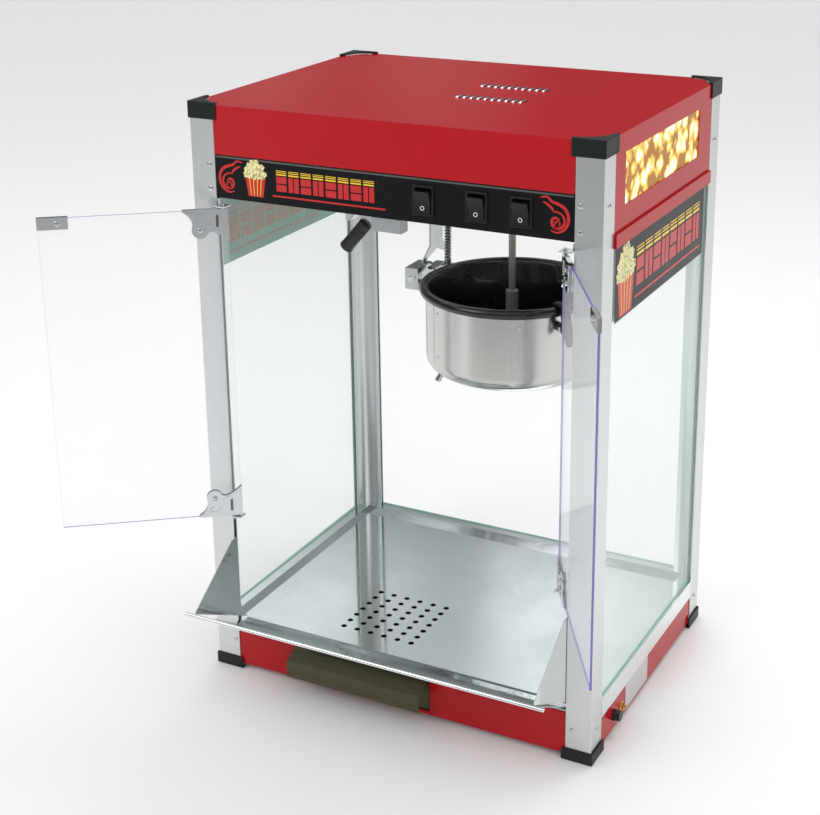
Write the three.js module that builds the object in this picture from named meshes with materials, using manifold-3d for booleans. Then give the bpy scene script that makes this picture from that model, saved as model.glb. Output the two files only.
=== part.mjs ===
// Countertop popcorn maker: a glazed cabinet with a hanging kettle that tips, swinging doors,
// a perforated deck and a drawer under it. Millimetres, +Z up, the front faces -Y.
import * as THREE from "three";
import { mergeVertices } from "three/addons/utils/BufferGeometryUtils.js";
import Module from "manifold-3d";

const wasm = await Module();
wasm.setup();

// Cabinet
const cabinetWidth = 560;
const cabinetDepth = 420;
const cabinetHeight = 800;
const gap = 0.3;
const sheet = 1.2;

// Corner posts and their caps and feet
const postLeg = 35;
const postEnd = 8;
const grooveWidth = 4.6;
const grooveInset = 1.6;
const grooveDepth = 9;
const postBore = 4.2;
const postFoot = 3;
const capOver = 5;
const capLeg = postLeg + capOver;
const capEnd = 4;
const capSkirt = 20;
const capProud = 2;
const capTop = 2;
const footSkirt = 16;
const footProud = 2.5;

// Hood, fascia and ceiling
const hoodSideBottom = 667;
const hoodLipHeight = 17;
const hoodLipProud = 3.2;
const fasciaBottom = 680;
const fasciaHeight = 56;
const fasciaSheet = 1.5;
const ceilingHeight = 681;
const windowFront = 68;
const windowLength = 268;
const windowBottom = 712;
const windowHeight = 63;
const windowMargin = 5;
const windowPanel = 1.5;
const ventCount = 10;
const ventPitch = 9.7;
const ventWidth = 3;
const ventLength = 18;
const ventRows = [{ x: 61, y: -35 }, { x: 58, y: 45 }];

// Rocker switches
const switchPlaces = [52, 122, 179];
const switchHeight = 708;
const bezelWidth = 29;
const bezelHeight = 37.5;
const bezelOverlap = 2;
const bezelProud = 2;
const pocketWidth = 21.4;
const pocketHeight = 31;
const pocketDepth = 11;
const housingDepth = 24;
const rockerTilt = 10;
const rockerHalf = 14;
const rockerFit = 0.5;
const rockerPivotDepth = 4;

// Glass
const glassThickness = 4;
const glassTop = 700;

// Base, deck and front guard
const baseBottom = 7;
const baseFrontTop = 65.7;
const baseInset = 1.2;
const baseFlange = 26;
const deckFloor = 66;
const deckRim = 75;
const deckRimWidth = 18;
const deckSkirt = 26;
const glandFront = 81;
const glandZ = 27;
const glandBody = 6;
const glandNut = 8.5;
const glandReach = 10;
const glandTail = 16;
const holeRadius = 4;
const holeColumns = 6;
const holeRows = 7;
const holePitchX = 21;
const holePitchY = 17.8;
const holeCentre = { x: -59, y: -95 };
const lipReach = 103;
const lipRise = 64;
const lipFoot = 12;
const hemRadius = 2.6;
const hemPast = 14;
const wingTop = 200;
const wingFlat = 8;

// Drawer
const drawerCentre = -50;
const drawerWidth = 202;
const drawerDepth = 195;
const drawerSheet = 1;
const drawerSetback = 3;
const drawerBottom = 13;
const drawerTop = 60;
const pullReach = 27;
const pullTop = 4;
const pullDrop = 11;
const pullFace = 24;
const elementWidth = 160;
const elementLength = 170;
const elementThick = 3;
const elementInset = 16;

// Doors
const doorAxisInset = 10;
const doorAxisProud = 2;
const doorBottom = 240;
const doorTop = 666;
const doorGlass = 3;
const doorTail = 5;
const doorMiddleGap = 5;
const leftDoorOpen = 143;
const rightDoorOpen = 121;
const clampSheet = 1;
const pinRadius = 2;
const pinLength = 6;
const catchWidth = 38;
const catchDrop = 15;

// Lamp and magnet
const lampX = -66;
const lampBehind = 24;
const lampRadius = 8.5;
const lampDrop = 16.7;
const lampLean = 30;
const lampFall = 35;
const lampBracketLength = 42;
const lampBracketWidth = 14;
const lampBracketDrop = 14.7;
const lampBracketSheet = 3.7;
const magnetWidth = 41;
const magnetDepth = 18;
const magnetDrop = 4;

// Kettle and drive
const gearWidth = 80;
const gearLength = 64;
const gearHeight = 34;
const motorRadius = 30;
const motorHeight = 54;
const kettleX = 67;
const kettleY = 14;
const kettleRim = 538;
const rimRadius = 6.5;
const panRadius = 110.5;
const panWall = 2;
const panFloor = 438;
const shellRoom = 3;
const shellRadius = panRadius + panWall + shellRoom;
const shellBottom = 427;
const shellCorner = 22;
const tiltHeight = 526;
const trunnionRadius = 4;
const trunnionFit = 0.4;
const shaftRadius = 4.8;
const sleeveRadius = 8.4;
const sleeveBottom = 454;
const sleeveTop = 534;
const heaterHole = 28;
const heaterInset = 5;
const stirrerClearance = 2;
const stirrerInset = 18.5;
const stirrerReach = panRadius - stirrerInset;
const stirrerTip = 22;
const stirrerTipTurn = 26;
const rodRadius = 2.5;
const handleAngle = -35;
const handleWidth = 10;
const handleThick = 4.5;
const handleDrop = 48;
const handleBoss = 9;
const stubAngle = 214;
const stubRadius = 4;
const stubInset = 25.5;
const stubReach = 11;
const stubDrop = 17;

// Kettle hangers
const blockGap = 9;
const blockWidth = 20;
const blockFront = -2;
const blockLength = 42;
const blockBottom = 519.5;
const blockHeight = 30;
const strapThickness = 2.5;
const strapFront = 54;
const strapWidth = 38;
const strapFork = 567;
const forkReach = 9;
const forkWidth = 10;
const leadRadius = 5;
const leadOver = 2;
const leadY = 67;
const leadFoot = 541;
const clipBack = 7;
const clipSheet = 3;

// Finishes
const finish = (colour, roughness, metalness) => ({ color: colour, roughness, metalness });
const aluminium = finish(0xbfc4c2, 0.38, 0.9);
const stainless = finish(0xc9cdd0, 0.2, 1);
const brushed = finish(0xa9a9a4, 0.35, 1);
const chrome = finish(0xd8dadc, 0.08, 1);
const blackPlastic = finish(0x17191a, 0.5, 0);
const blackCoat = finish(0x101112, 0.3, 0.1);
const redPaint = finish(0xb01c1e, 0.22, 0);
const glass = finish(0xdfeee8, 0.05, 0);
const picture = finish(0xd9a441, 0.35, 0);

const root = new THREE.Group();

// One named mesh with its own material, in the given group.
function add(name, geometry, look, group = root) {
  const mesh = new THREE.Mesh(geometry, new THREE.MeshStandardMaterial(look));
  mesh.name = name;
  group.add(mesh);
  return mesh;
}

function toSolid(geometry) {
  const bare = new THREE.BufferGeometry();
  bare.setAttribute("position", geometry.getAttribute("position").clone());
  if (geometry.index) bare.setIndex(geometry.index.clone());
  const merged = mergeVertices(bare, 1e-4);
  return new wasm.Manifold(new wasm.Mesh({
    numProp: 3,
    vertProperties: new Float32Array(merged.getAttribute("position").array),
    triVerts: new Uint32Array(merged.index.array),
  }));
}

function toGeometry(solid) {
  const mesh = solid.getMesh();
  const geometry = new THREE.BufferGeometry();
  geometry.setAttribute("position", new THREE.BufferAttribute(new Float32Array(mesh.vertProperties), 3));
  geometry.setIndex(new THREE.BufferAttribute(new Uint32Array(mesh.triVerts), 1));
  geometry.computeVertexNormals();
  return geometry;
}

function join(first, ...others) {
  return toGeometry(others.reduce((solid, other) => solid.add(toSolid(other)), toSolid(first)));
}

function cut(first, ...others) {
  return toGeometry(others.reduce((solid, other) => solid.subtract(toSolid(other)), toSolid(first)));
}

// A box between two corners.
function block(x0, x1, y0, y1, z0, z1) {
  const geometry = new THREE.BoxGeometry(x1 - x0, y1 - y0, z1 - z0);
  return geometry.translate((x0 + x1) / 2, (y0 + y1) / 2, (z0 + z1) / 2);
}

function shapeOf(points) {
  return new THREE.Shape(points.map(([a, b]) => new THREE.Vector2(a, b)));
}

function extrude(shape, depth, curveSegments = 6) {
  return new THREE.ExtrudeGeometry(shape, { depth, bevelEnabled: false, curveSegments });
}

// A (y, z) outline drawn out from x0 to x1.
function alongX(shape, x0, x1) {
  const turn = new THREE.Matrix4().makeBasis(
    new THREE.Vector3(0, 1, 0), new THREE.Vector3(0, 0, 1), new THREE.Vector3(1, 0, 0));
  return extrude(shape, x1 - x0).applyMatrix4(turn).translate(x0, 0, 0);
}

// An (x, z) outline drawn out from y0 to y1.
function alongY(shape, y0, y1) {
  return extrude(shape, y1 - y0).rotateX(Math.PI / 2).translate(0, y1, 0);
}

function rodZ(radius, x, y, z0, z1, sides = 24) {
  const geometry = new THREE.CylinderGeometry(radius, radius, z1 - z0, sides);
  return geometry.rotateX(Math.PI / 2).translate(x, y, (z0 + z1) / 2);
}

function rodX(radius, x0, x1, y, z, sides = 20) {
  const geometry = new THREE.CylinderGeometry(radius, radius, Math.abs(x1 - x0), sides);
  return geometry.rotateZ(-Math.PI / 2).translate((x0 + x1) / 2, y, z);
}

// A round rod between two points.
function rodBetween(radius, from, to, sides = 16) {
  const start = new THREE.Vector3(...from);
  const along = new THREE.Vector3(...to).sub(start);
  const geometry = new THREE.CylinderGeometry(radius, radius, along.length(), sides);
  const upright = new THREE.Vector3(0, 1, 0);
  const turn = new THREE.Quaternion().setFromUnitVectors(upright, along.clone().normalize());
  return geometry.applyQuaternion(turn).translate(...start.addScaledVector(along, 0.5).toArray());
}

// A closed (radius, height) profile turned about the vertical line through x, y.
function turned(points, x, y, sides = 40) {
  const profile = points.map(([radius, height]) => new THREE.Vector2(radius, height));
  return new THREE.LatheGeometry(profile, sides).rotateX(Math.PI / 2).translate(x, y, 0);
}

const halfWidth = cabinetWidth / 2;
const halfDepth = cabinetDepth / 2;
const innerHalf = halfWidth - postLeg;
const sideHalf = halfDepth - postLeg;
const fasciaTop = fasciaBottom + fasciaHeight;
const hoodTop = cabinetHeight - 2 * gap;

// The outline of a corner, seen from above, with its outer corner at the origin: two legs
// joined by a hollow curve. Growing it gives the clearance that neighbours keep.
function cornerOutline(leg, end, grow = 0) {
  const shape = new THREE.Shape();
  shape.moveTo(-grow, -grow);
  shape.lineTo(leg + grow, -grow);
  shape.lineTo(leg + grow, end + grow);
  shape.absarc(leg + grow, leg + grow, leg - end, -Math.PI / 2, Math.PI, true);
  shape.lineTo(-grow, leg + grow);
  shape.closePath();
  return shape;
}

// Puts a shape drawn for the front left corner at the corner with the given signs.
function toCorner(geometry, signX, signY) {
  const angle = { "-1-1": 0, "1-1": 90, "11": 180, "-11": 270 }[`${signX}${signY}`];
  geometry.rotateZ(THREE.MathUtils.degToRad(angle));
  return geometry.translate(signX * halfWidth, signY * halfDepth, 0);
}

const corners = [
  { name: "front_left", x: -1, y: -1 },
  { name: "front_right", x: 1, y: -1 },
  { name: "back_left", x: -1, y: 1 },
  { name: "back_right", x: 1, y: 1 },
];

const cornerCuts = corners.map((corner) => {
  const clear = extrude(cornerOutline(postLeg, postEnd, gap), cabinetHeight + 20).translate(0, 0, -10);
  return toCorner(clear, corner.x, corner.y);
});

function post() {
  const bore = new THREE.Path().absarc(postLeg * 0.3, postLeg * 0.3, postBore, 0, 2 * Math.PI, true);
  const outline = cornerOutline(postLeg, postEnd);
  outline.holes.push(bore);
  const bar = extrude(outline, cabinetHeight - postFoot).translate(0, 0, postFoot);
  const inner = grooveInset + grooveWidth;
  const start = postLeg - grooveDepth;
  const frontGroove = block(start, postLeg + 1, grooveInset, inner, 0, cabinetHeight + 1);
  const sideGroove = block(grooveInset, inner, start, postLeg + 1, 0, cabinetHeight + 1);
  return cut(bar, frontGroove, sideGroove);
}

// A plate over the post's end with a skirt down its two outer faces.
function cap() {
  const top = cabinetHeight + gap;
  const whole = extrude(cornerOutline(capLeg, capEnd), capTop + gap + capSkirt);
  whole.translate(0, 0, top + capTop - (capTop + gap + capSkirt));
  const skirted = join(whole, skirt(capLeg, capProud, top - capSkirt, top + capTop));
  const inside = block(-gap, capLeg + 1, -gap, capLeg + 1, top - capSkirt - 1, top);
  return cut(skirted, inside);
}

function foot() {
  const plate = postFoot - gap;
  const bottom = extrude(cornerOutline(capLeg, capEnd), plate);
  const skirted = join(bottom, skirt(capLeg, footProud, 0, footSkirt));
  const inside = block(-gap, capLeg + 1, -gap, capLeg + 1, plate, footSkirt + 1);
  return cut(skirted, inside);
}

function skirt(leg, proud, z0, z1) {
  const outline = shapeOf([[-proud, -proud], [leg, -proud], [leg, 1], [1, 1], [1, leg], [-proud, leg]]);
  return extrude(outline, z1 - z0).translate(0, 0, z0);
}

for (const corner of corners) {
  add(`post_${corner.name}`, toCorner(post(), corner.x, corner.y), aluminium);
  add(`cap_${corner.name}`, toCorner(cap(), corner.x, corner.y), blackPlastic);
  add(`foot_${corner.name}`, toCorner(foot(), corner.x, corner.y), blackPlastic);
}

// Hood: a folded sheet cover, open below, whose sides run down to a proud lip.
const hoodFace = 0.2;
const hoodX = halfWidth - hoodFace;
const hoodY = halfDepth - hoodFace;
const windowBack = windowFront + windowLength - halfDepth;

function ventSlots() {
  const slots = [];
  for (const row of ventRows) {
    for (let i = 0; i < ventCount; i += 1) {
      const x = row.x + (i - (ventCount - 1) / 2) * ventPitch;
      const half = { x: ventWidth / 2, y: ventLength / 2 };
      slots.push(block(x - half.x, x + half.x, row.y - half.y, row.y + half.y, hoodTop - 5, hoodTop + 5));
    }
  }
  return slots;
}

function hoodCover() {
  const shell = cut(
    block(-hoodX, hoodX, -hoodY, hoodY, hoodSideBottom, hoodTop),
    block(-hoodX + sheet, hoodX - sheet, -hoodY + sheet, hoodY - sheet, 0, hoodTop - sheet),
    block(-innerHalf, innerHalf, -halfDepth - 1, -sideHalf, 0, fasciaTop + gap),
  );
  const reach = hoodX + hoodLipProud;
  const lipTop = hoodSideBottom + hoodLipHeight;
  const lips = [-1, 1].map((side) => {
    const inside = side * (hoodX - sheet);
    const outside = side * reach;
    const span = sideHalf - 2 * gap;
    return block(Math.min(inside, outside), Math.max(inside, outside), -span, span, hoodSideBottom, lipTop);
  });
  const windows = block(-hoodX - 9, hoodX + 9, windowFront - halfDepth, windowBack,
    windowBottom, windowBottom + windowHeight);
  return cut(join(shell, ...lips), ...cornerCuts, windows, ...ventSlots());
}

add("hood_cover", hoodCover(), redPaint);

for (const [name, side] of [["hood_picture_left", -1], ["hood_picture_right", 1]]) {
  const outer = hoodX - sheet - gap;
  const x = [side * outer, side * (outer - windowPanel)].sort((a, b) => a - b);
  add(name, block(x[0], x[1], windowFront - halfDepth - windowMargin, windowBack + windowMargin,
    windowBottom - windowMargin, windowBottom + windowHeight + windowMargin), picture);
}

// Ceiling of the cabinet, with the hole for the stirrer's drive.
const glassOuter = grooveInset + gap;
const glassInner = glassOuter + glassThickness;
const ceilingX = halfWidth - glassInner - gap;
const ceilingY = halfDepth - glassInner - gap;
const ceilingHole = rodZ(sleeveRadius + 3, kettleX, kettleY, ceilingHeight - 5, ceilingHeight + 5);
add("ceiling_panel", cut(
  block(-ceilingX, ceilingX, -ceilingY, ceilingY, ceilingHeight, ceilingHeight + sheet),
  ...cornerCuts, ceilingHole), stainless);

// Fascia and its switches. Each switch is a housing that snaps in from the front, and a rocker.
const fasciaFace = -hoodY;
const fasciaHalf = innerHalf - gap;
const housingHalf = bezelWidth / 2 - bezelOverlap;
const housingTall = bezelHeight / 2 - bezelOverlap;

function fasciaPanel() {
  const back = fasciaFace + fasciaSheet;
  const panel = block(-fasciaHalf, fasciaHalf, fasciaFace, back, fasciaBottom, fasciaTop);
  const holes = switchPlaces.map((x) => block(
    x - housingHalf - gap, x + housingHalf + gap, fasciaFace - 1, fasciaFace + 9,
    switchHeight - housingTall - gap, switchHeight + housingTall + gap));
  return cut(panel, ...holes);
}


function switchHousing(x) {
  const face = fasciaFace - gap;
  const bezel = block(x - bezelWidth / 2, x + bezelWidth / 2, face - bezelProud, face,
    switchHeight - bezelHeight / 2, switchHeight + bezelHeight / 2);
  const body = block(x - housingHalf, x + housingHalf, face - 0.5, face + housingDepth,
    switchHeight - housingTall, switchHeight + housingTall);
  const pocket = block(x - pocketWidth / 2, x + pocketWidth / 2, face - bezelProud - 1,
    face - bezelProud + pocketDepth, switchHeight - pocketHeight / 2, switchHeight + pocketHeight / 2);
  return cut(join(bezel, body), pocket);
}

// A rocker in its off position: the lower half is pressed in and the upper half stands out.
function rocker() {
  const rise = rockerHalf * Math.tan(THREE.MathUtils.degToRad(rockerTilt));
  const outline = shapeOf([
    [-rockerPivotDepth - 1.2, 0], [-rockerPivotDepth - 1.2 - rise, -rockerHalf],
    [0, -rockerHalf + 1], [3, -5], [3, 5], [0, rockerHalf - 1],
    [-rockerPivotDepth - 1.2 - rise, rockerHalf],
  ].reverse());
  const half = pocketWidth / 2 - rockerFit;
  return alongX(outline, -half, half);
}

add("fascia_panel", fasciaPanel(), blackCoat);
const rockerPivotY = fasciaFace - gap - bezelProud + rockerPivotDepth;
["left", "middle", "right"].forEach((side, i) => {
  const x = switchPlaces[i];
  add(`switch_housing_${side}`, switchHousing(x), blackPlastic);
  const mesh = add(`switch_rocker_${side}`, rocker(), blackPlastic);
  mesh.position.set(x, rockerPivotY, switchHeight);
  mesh.rotation.x = THREE.MathUtils.degToRad(rockerTilt);
});

// Fixed glass, held in the posts' grooves and standing on the deck's rim.
const paneReach = grooveDepth - 2 * gap;
for (const [name, side] of [["side_glass_left", -1], ["side_glass_right", 1]]) {
  const x = [side * (halfWidth - glassOuter), side * (halfWidth - glassInner)].sort((a, b) => a - b);
  const span = sideHalf + paneReach;
  add(name, block(x[0], x[1], -span, span, deckRim + gap, glassTop), glass);
}
add("back_glass", block(-innerHalf - paneReach, innerHalf + paneReach, halfDepth - glassInner,
  halfDepth - glassOuter, deckRim + gap, glassTop), glass);

// Base: a red folded shell with a floor plate, and the deck over it.
const baseX = halfWidth - baseInset;
const baseY = halfDepth - baseInset;
const rimUnder = deckRim - sheet;
const drawerHalf = drawerWidth / 2;
const glandY = glandFront - halfDepth;

function baseShell() {
  const outer = block(-baseX, baseX, -baseY, baseY, baseBottom, rimUnder - gap);
  const hollow = block(-baseX + sheet, baseX - sheet, -baseY + sheet, baseY - sheet,
    baseBottom + sheet, deckRim);
  const middle = block(-baseX + baseFlange, baseX - baseFlange, -baseY + baseFlange, baseY - baseFlange,
    0, deckRim);
  const frontTop = block(-halfWidth, halfWidth, -halfDepth - 1, -baseY + 2 * sheet, baseFrontTop, deckRim);
  const drawerWay = block(drawerCentre - drawerHalf - 1, drawerCentre + drawerHalf + 1, -halfDepth - 1,
    -baseY + 2 * sheet, drawerBottom - 1, drawerTop + 1);
  const glandHole = rodX(glandBody + gap, baseX - 9, baseX + 9, glandY, glandZ);
  return cut(outer, hollow, middle, frontTop, drawerWay, glandHole, ...cornerCuts);
}


function cordGland() {
  const seat = baseX + gap;
  return join(
    rodX(glandNut, seat, seat + 4, glandY, glandZ, 6),
    rodX(glandBody, seat - glandTail, seat + 1, glandY, glandZ),
    rodX(glandBody + 1, seat + 3, seat + glandReach, glandY, glandZ),
  );
}

const floorX = baseX - sheet - gap;
const floorY = baseY - sheet - gap;
const plateBottom = baseBottom + sheet + gap;
add("base_shell", baseShell(), redPaint);
add("base_floor", cut(block(-floorX, floorX, -floorY, floorY, plateBottom, plateBottom + sheet),
  ...cornerCuts), stainless);
add("cord_gland", cordGland(), blackPlastic);

// Deck: a shallow tray whose rim carries the glass and folds down outside the base's sides.
const deckX = halfWidth - deckRimWidth;
const deckBack = halfDepth - deckRimWidth;
const deckFront = -baseY + sheet + gap;

function deckHoles() {
  const holes = [];
  for (let i = 0; i < holeColumns; i += 1) {
    for (let j = 0; j < holeRows; j += 1) {
      const x = holeCentre.x + (i - (holeColumns - 1) / 2) * holePitchX;
      const y = holeCentre.y + (j - (holeRows - 1) / 2) * holePitchY;
      holes.push(rodZ(holeRadius, x, y, deckFloor - 5, deckFloor + 5, 10));
    }
  }
  return holes;
}

function deckTray() {
  const tray = cut(
    block(-deckX, deckX, deckFront, deckBack, deckFloor, deckRim),
    block(-deckX + sheet, deckX - sheet, deckFront - 1, deckBack - sheet, deckFloor + sheet, deckRim + 1),
  );
  const rim = cut(
    block(-halfWidth, halfWidth, -sideHalf + gap, halfDepth - hoodFace, rimUnder, deckRim),
    block(-deckX + sheet / 2, deckX - sheet / 2, -halfDepth, deckBack - sheet / 2, 0, deckRim + 1),
  );
  const span = sideHalf - 2 * gap;
  const skirts = [-1, 1].map((side) => {
    const x = [side * (baseX + gap), side * (baseX + gap + sheet)].sort((a, b) => a - b);
    return block(x[0], x[1], -span, span, deckRim - deckSkirt, deckRim);
  });
  return cut(join(tray, rim, ...skirts), ...cornerCuts, ...deckHoles());
}

add("deck_tray", deckTray(), stainless);

// Front guard: a lip that slopes out and up, between two upright wings.
const guardFoot = deckFloor + sheet + gap;
const guardBack = -halfDepth + lipFoot - 2;
const guardTip = -halfDepth - lipReach;
const wingX = innerHalf - gap - sheet;

function frontLip() {
  const half = wingX - gap;
  const outline = shapeOf([
    [guardBack + lipFoot, guardFoot], [guardBack + lipFoot, guardFoot + sheet],
    [guardBack, guardFoot + sheet],
    [guardTip, guardFoot + lipRise + sheet], [guardTip, guardFoot + lipRise], [guardBack, guardFoot],
  ]);
  const reach = wingX + sheet + hemPast;
  const hem = rodX(hemRadius, -reach, reach, guardTip, guardFoot + lipRise + sheet / 2, 16);
  return join(alongX(outline, -half, half), hem);
}

function guardWing(side) {
  const clear = hemRadius + gap;
  const outline = shapeOf([
    [guardBack + lipFoot, guardFoot + 2], [guardTip + clear + 1, guardFoot + lipRise + 1],
    [guardTip + clear + 1, guardFoot + lipRise + 4], [-halfDepth - wingFlat, wingTop],
    [-halfDepth + 5, wingTop], [-halfDepth + 5, guardFoot + 20],
  ].reverse());
  const x = [side * wingX, side * (wingX + sheet)].sort((a, b) => a - b);
  return alongX(outline, x[0], x[1]);
}

add("front_lip", frontLip(), stainless);
add("guard_wing_left", guardWing(-1), stainless);
add("guard_wing_right", guardWing(1), stainless);

// Drawer under the perforations, and the heater that warms the rest of the deck.
function drawerBox() {
  const front = -halfDepth + drawerSetback;
  const x = [drawerCentre - drawerHalf, drawerCentre + drawerHalf];
  return cut(
    block(x[0], x[1], front, front + drawerDepth, drawerBottom, drawerTop),
    block(x[0] + drawerSheet, x[1] - drawerSheet, front + drawerSheet, front + drawerDepth - drawerSheet,
      drawerBottom + drawerSheet, drawerTop + 1),
  );
}

// A folded front: an upright face behind, a top that slopes out, and a dropped grip.
function drawerPull() {
  const back = -halfDepth + drawerSetback + sheet / 2;
  const out = -halfDepth - pullReach;
  const high = drawerTop;
  const low = drawerTop - pullDrop;
  const under = high - 1.5 * sheet + gap;
  const outline = shapeOf([
    [back, drawerBottom], [back, high], [back - pullTop, high], [out, low], [out, low - pullFace],
    [out + sheet, low - pullFace], [out + sheet, low - 1], [back - pullTop, under],
    [back - sheet, under], [back - sheet, drawerBottom],
  ]);
  return alongX(outline, drawerCentre - drawerHalf, drawerCentre + drawerHalf);
}

add("drawer", join(drawerBox(), drawerPull()), brushed);
const elementRight = floorX - 2 * elementInset;
add("warming_element", block(elementRight - elementWidth, elementRight, -elementLength / 2 - elementInset,
  elementLength / 2 - elementInset, deckFloor - gap - elementThick, deckFloor - gap), aluminium);

// Doors. Each is drawn shut, from its hinge line towards the middle, and then turned open.
const doorAxisX = innerHalf - doorAxisInset;
const doorAxisY = -halfDepth - doorAxisProud;
const doorWidth = doorAxisX - doorMiddleGap / 2;
const clampHalf = doorGlass / 2 + gap + clampSheet;
const clampTail = doorTail + gap + clampSheet;
const clampEdge = gap + clampSheet;

// The clamp's outline in the plane of the door: straight along the door's end, with a lobe
// for the screw and a point down the hinge side.
function clampOutline() {
  const shape = new THREE.Shape();
  shape.moveTo(-clampTail, clampEdge);
  shape.lineTo(-clampTail, -42);
  shape.quadraticCurveTo(3, -33, 13, -29);
  shape.quadraticCurveTo(18, -27.5, 21, -31);
  shape.absarc(30, -26, 11, -2.4, 0.5, false);
  shape.quadraticCurveTo(39, -9, 52, -1);
  shape.lineTo(52, clampEdge);
  shape.closePath();
  return shape;
}

// A sheet clamp folded round the glass, from a door-plane shape, with the glass's room cut out.
function foldedClamp(shape, room) {
  const solid = extrude(shape, 2 * clampHalf).rotateX(Math.PI / 2).translate(0, clampHalf, 0);
  return cut(solid, room);
}

function hingeClamp(side, atTop) {
  const half = doorGlass / 2 + gap;
  const room = block(-doorTail - gap, 99, -half, half, -99, gap);
  const pin = rodZ(pinRadius, 0, 0, gap / 2, clampEdge + pinLength, 16);
  const clamp = join(foldedClamp(clampOutline(), room), pin);
  if (!atTop) clamp.rotateX(Math.PI);
  if (side > 0) clamp.rotateZ(Math.PI);
  return clamp.translate(0, 0, atTop ? doorTop : doorBottom);
}

function doorPane(side) {
  const pane = block(-doorTail, doorWidth, -doorGlass / 2, doorGlass / 2, doorBottom, doorTop);
  return side > 0 ? pane.rotateZ(Math.PI) : pane;
}

// The steel plate at the door's free top corner, which the magnet holds.
function catchPlate(side) {
  const half = doorGlass / 2 + gap;
  const outer = block(doorWidth - catchWidth, doorWidth + clampSheet, -clampHalf, clampHalf,
    doorTop - catchDrop, doorTop + clampEdge);
  const room = block(0, doorWidth + gap, -half, half, doorTop - catchDrop - 1, doorTop + gap);
  const plate = cut(outer, room);
  return side > 0 ? plate.rotateZ(Math.PI) : plate;
}

// An angle on the post's edge, whose plate takes the door's pin.
function hingeBracket(side, atTop) {
  const outer = innerHalf - gap;
  const plateStart = clampEdge + gap * 5;
  const plate = block(doorAxisX - 6, outer, doorAxisY - 6, doorAxisY + 9, plateStart, plateStart + 1.5);
  const flange = block(outer - 1.5, outer, -halfDepth + gap, doorAxisY + 9, plateStart, plateStart + 9);
  const pinHole = rodZ(pinRadius + 0.4, doorAxisX, doorAxisY, plateStart - 1, plateStart + 3, 16);
  const bracket = cut(join(plate, flange), pinHole);
  const flipped = atTop ? bracket : flipZ(bracket);
  return (side < 0 ? flipX(flipped) : flipped).translate(0, 0, atTop ? doorTop : doorBottom);
}

// Mirror images, with their faces still pointing out.
function flipX(geometry) {
  return toGeometry(toSolid(geometry).mirror([1, 0, 0]));
}

function flipZ(geometry) {
  return toGeometry(toSolid(geometry).mirror([0, 0, 1]));
}

for (const [name, side, turn] of [["left", -1, -leftDoorOpen], ["right", 1, rightDoorOpen]]) {
  const door = new THREE.Group();
  door.position.set(side * doorAxisX, doorAxisY, 0);
  door.rotation.z = THREE.MathUtils.degToRad(turn);
  root.add(door);
  add(`door_pane_${name}`, doorPane(side), glass, door);
  add(`hinge_clamp_${name}_top`, hingeClamp(side, true), chrome, door);
  add(`hinge_clamp_${name}_bottom`, hingeClamp(side, false), chrome, door);
  add(`catch_plate_${name}`, catchPlate(side), chrome, door);
  add(`hinge_bracket_${name}_top`, hingeBracket(side, true), chrome);
  add(`hinge_bracket_${name}_bottom`, hingeBracket(side, false), chrome);
}

// Magnetic catch behind the doors' meeting line, and the lamp that lights the kettle.
const ceilingUnder = ceilingHeight - gap;
const lampY = lampBehind - halfDepth;
const catchBack = doorAxisY + clampHalf + gap;
add("magnet_catch", block(-magnetWidth / 2, magnetWidth / 2, catchBack, catchBack + magnetDepth,
  doorTop - magnetDrop, fasciaBottom - gap), brushed);

function lampBracket() {
  const inner = lampX + lampBracketLength;
  const low = ceilingUnder - lampBracketDrop;
  const thin = ceilingUnder - lampBracketSheet;
  const outline = shapeOf([[inner, ceilingUnder], [lampX, ceilingUnder], [lampX, low], [lampX + 6, low],
    [lampX + 16, thin], [inner, thin]]);
  return alongY(outline, lampY - lampBracketWidth / 2, lampY + lampBracketWidth / 2);
}

add("lamp_bracket", lampBracket(), stainless);
const lampTop = ceilingUnder - lampDrop;
add("lamp_holder", rodBetween(lampRadius, [lampX + 26, lampY, lampTop],
  [lampX + 26 - lampLean, lampY, lampTop - lampFall], 20), blackPlastic);

// Gear motor, drive shaft and the sleeve that drives the stirrer.
const gearBottom = ceilingHeight + sheet + gap;
function gearMotor() {
  const half = { x: gearWidth / 2, y: gearLength / 2 };
  const top = gearBottom + gearHeight;
  const box = block(kettleX - half.x, kettleX + half.x, kettleY - half.y, kettleY + half.y, gearBottom, top);
  const motor = rodZ(motorRadius, kettleX, kettleY, top - 1, top + motorHeight, 32);
  return join(box, motor);
}

add("gear_motor", gearMotor(), brushed);
add("drive_shaft", join(
  rodZ(shaftRadius, kettleX, kettleY, sleeveTop - 1, gearBottom - gap),
  rodZ(sleeveRadius, kettleX, kettleY, sleeveBottom, sleeveTop)), stainless);

// Kettle: a brushed shell round a coated pan, with the heater between their floors.
function arcPoints(x, z, radius, from, to, steps) {
  const points = [];
  for (let i = 0; i <= steps; i += 1) {
    const angle = THREE.MathUtils.degToRad(from + (to - from) * i / steps);
    points.push([x + radius * Math.cos(angle), z + radius * Math.sin(angle)]);
  }
  return points;
}

const shellTop = kettleRim - rimRadius - gap;

function trunnion(side) {
  const inner = kettleX + side * (shellRadius - 1);
  const outer = kettleX + side * (panRadius + panWall + 2 * rimRadius + blockGap + blockWidth);
  const x = [inner, outer].sort((a, b) => a - b);
  return rodX(trunnionRadius, x[0], x[1], kettleY, tiltHeight, 24);
}

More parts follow.
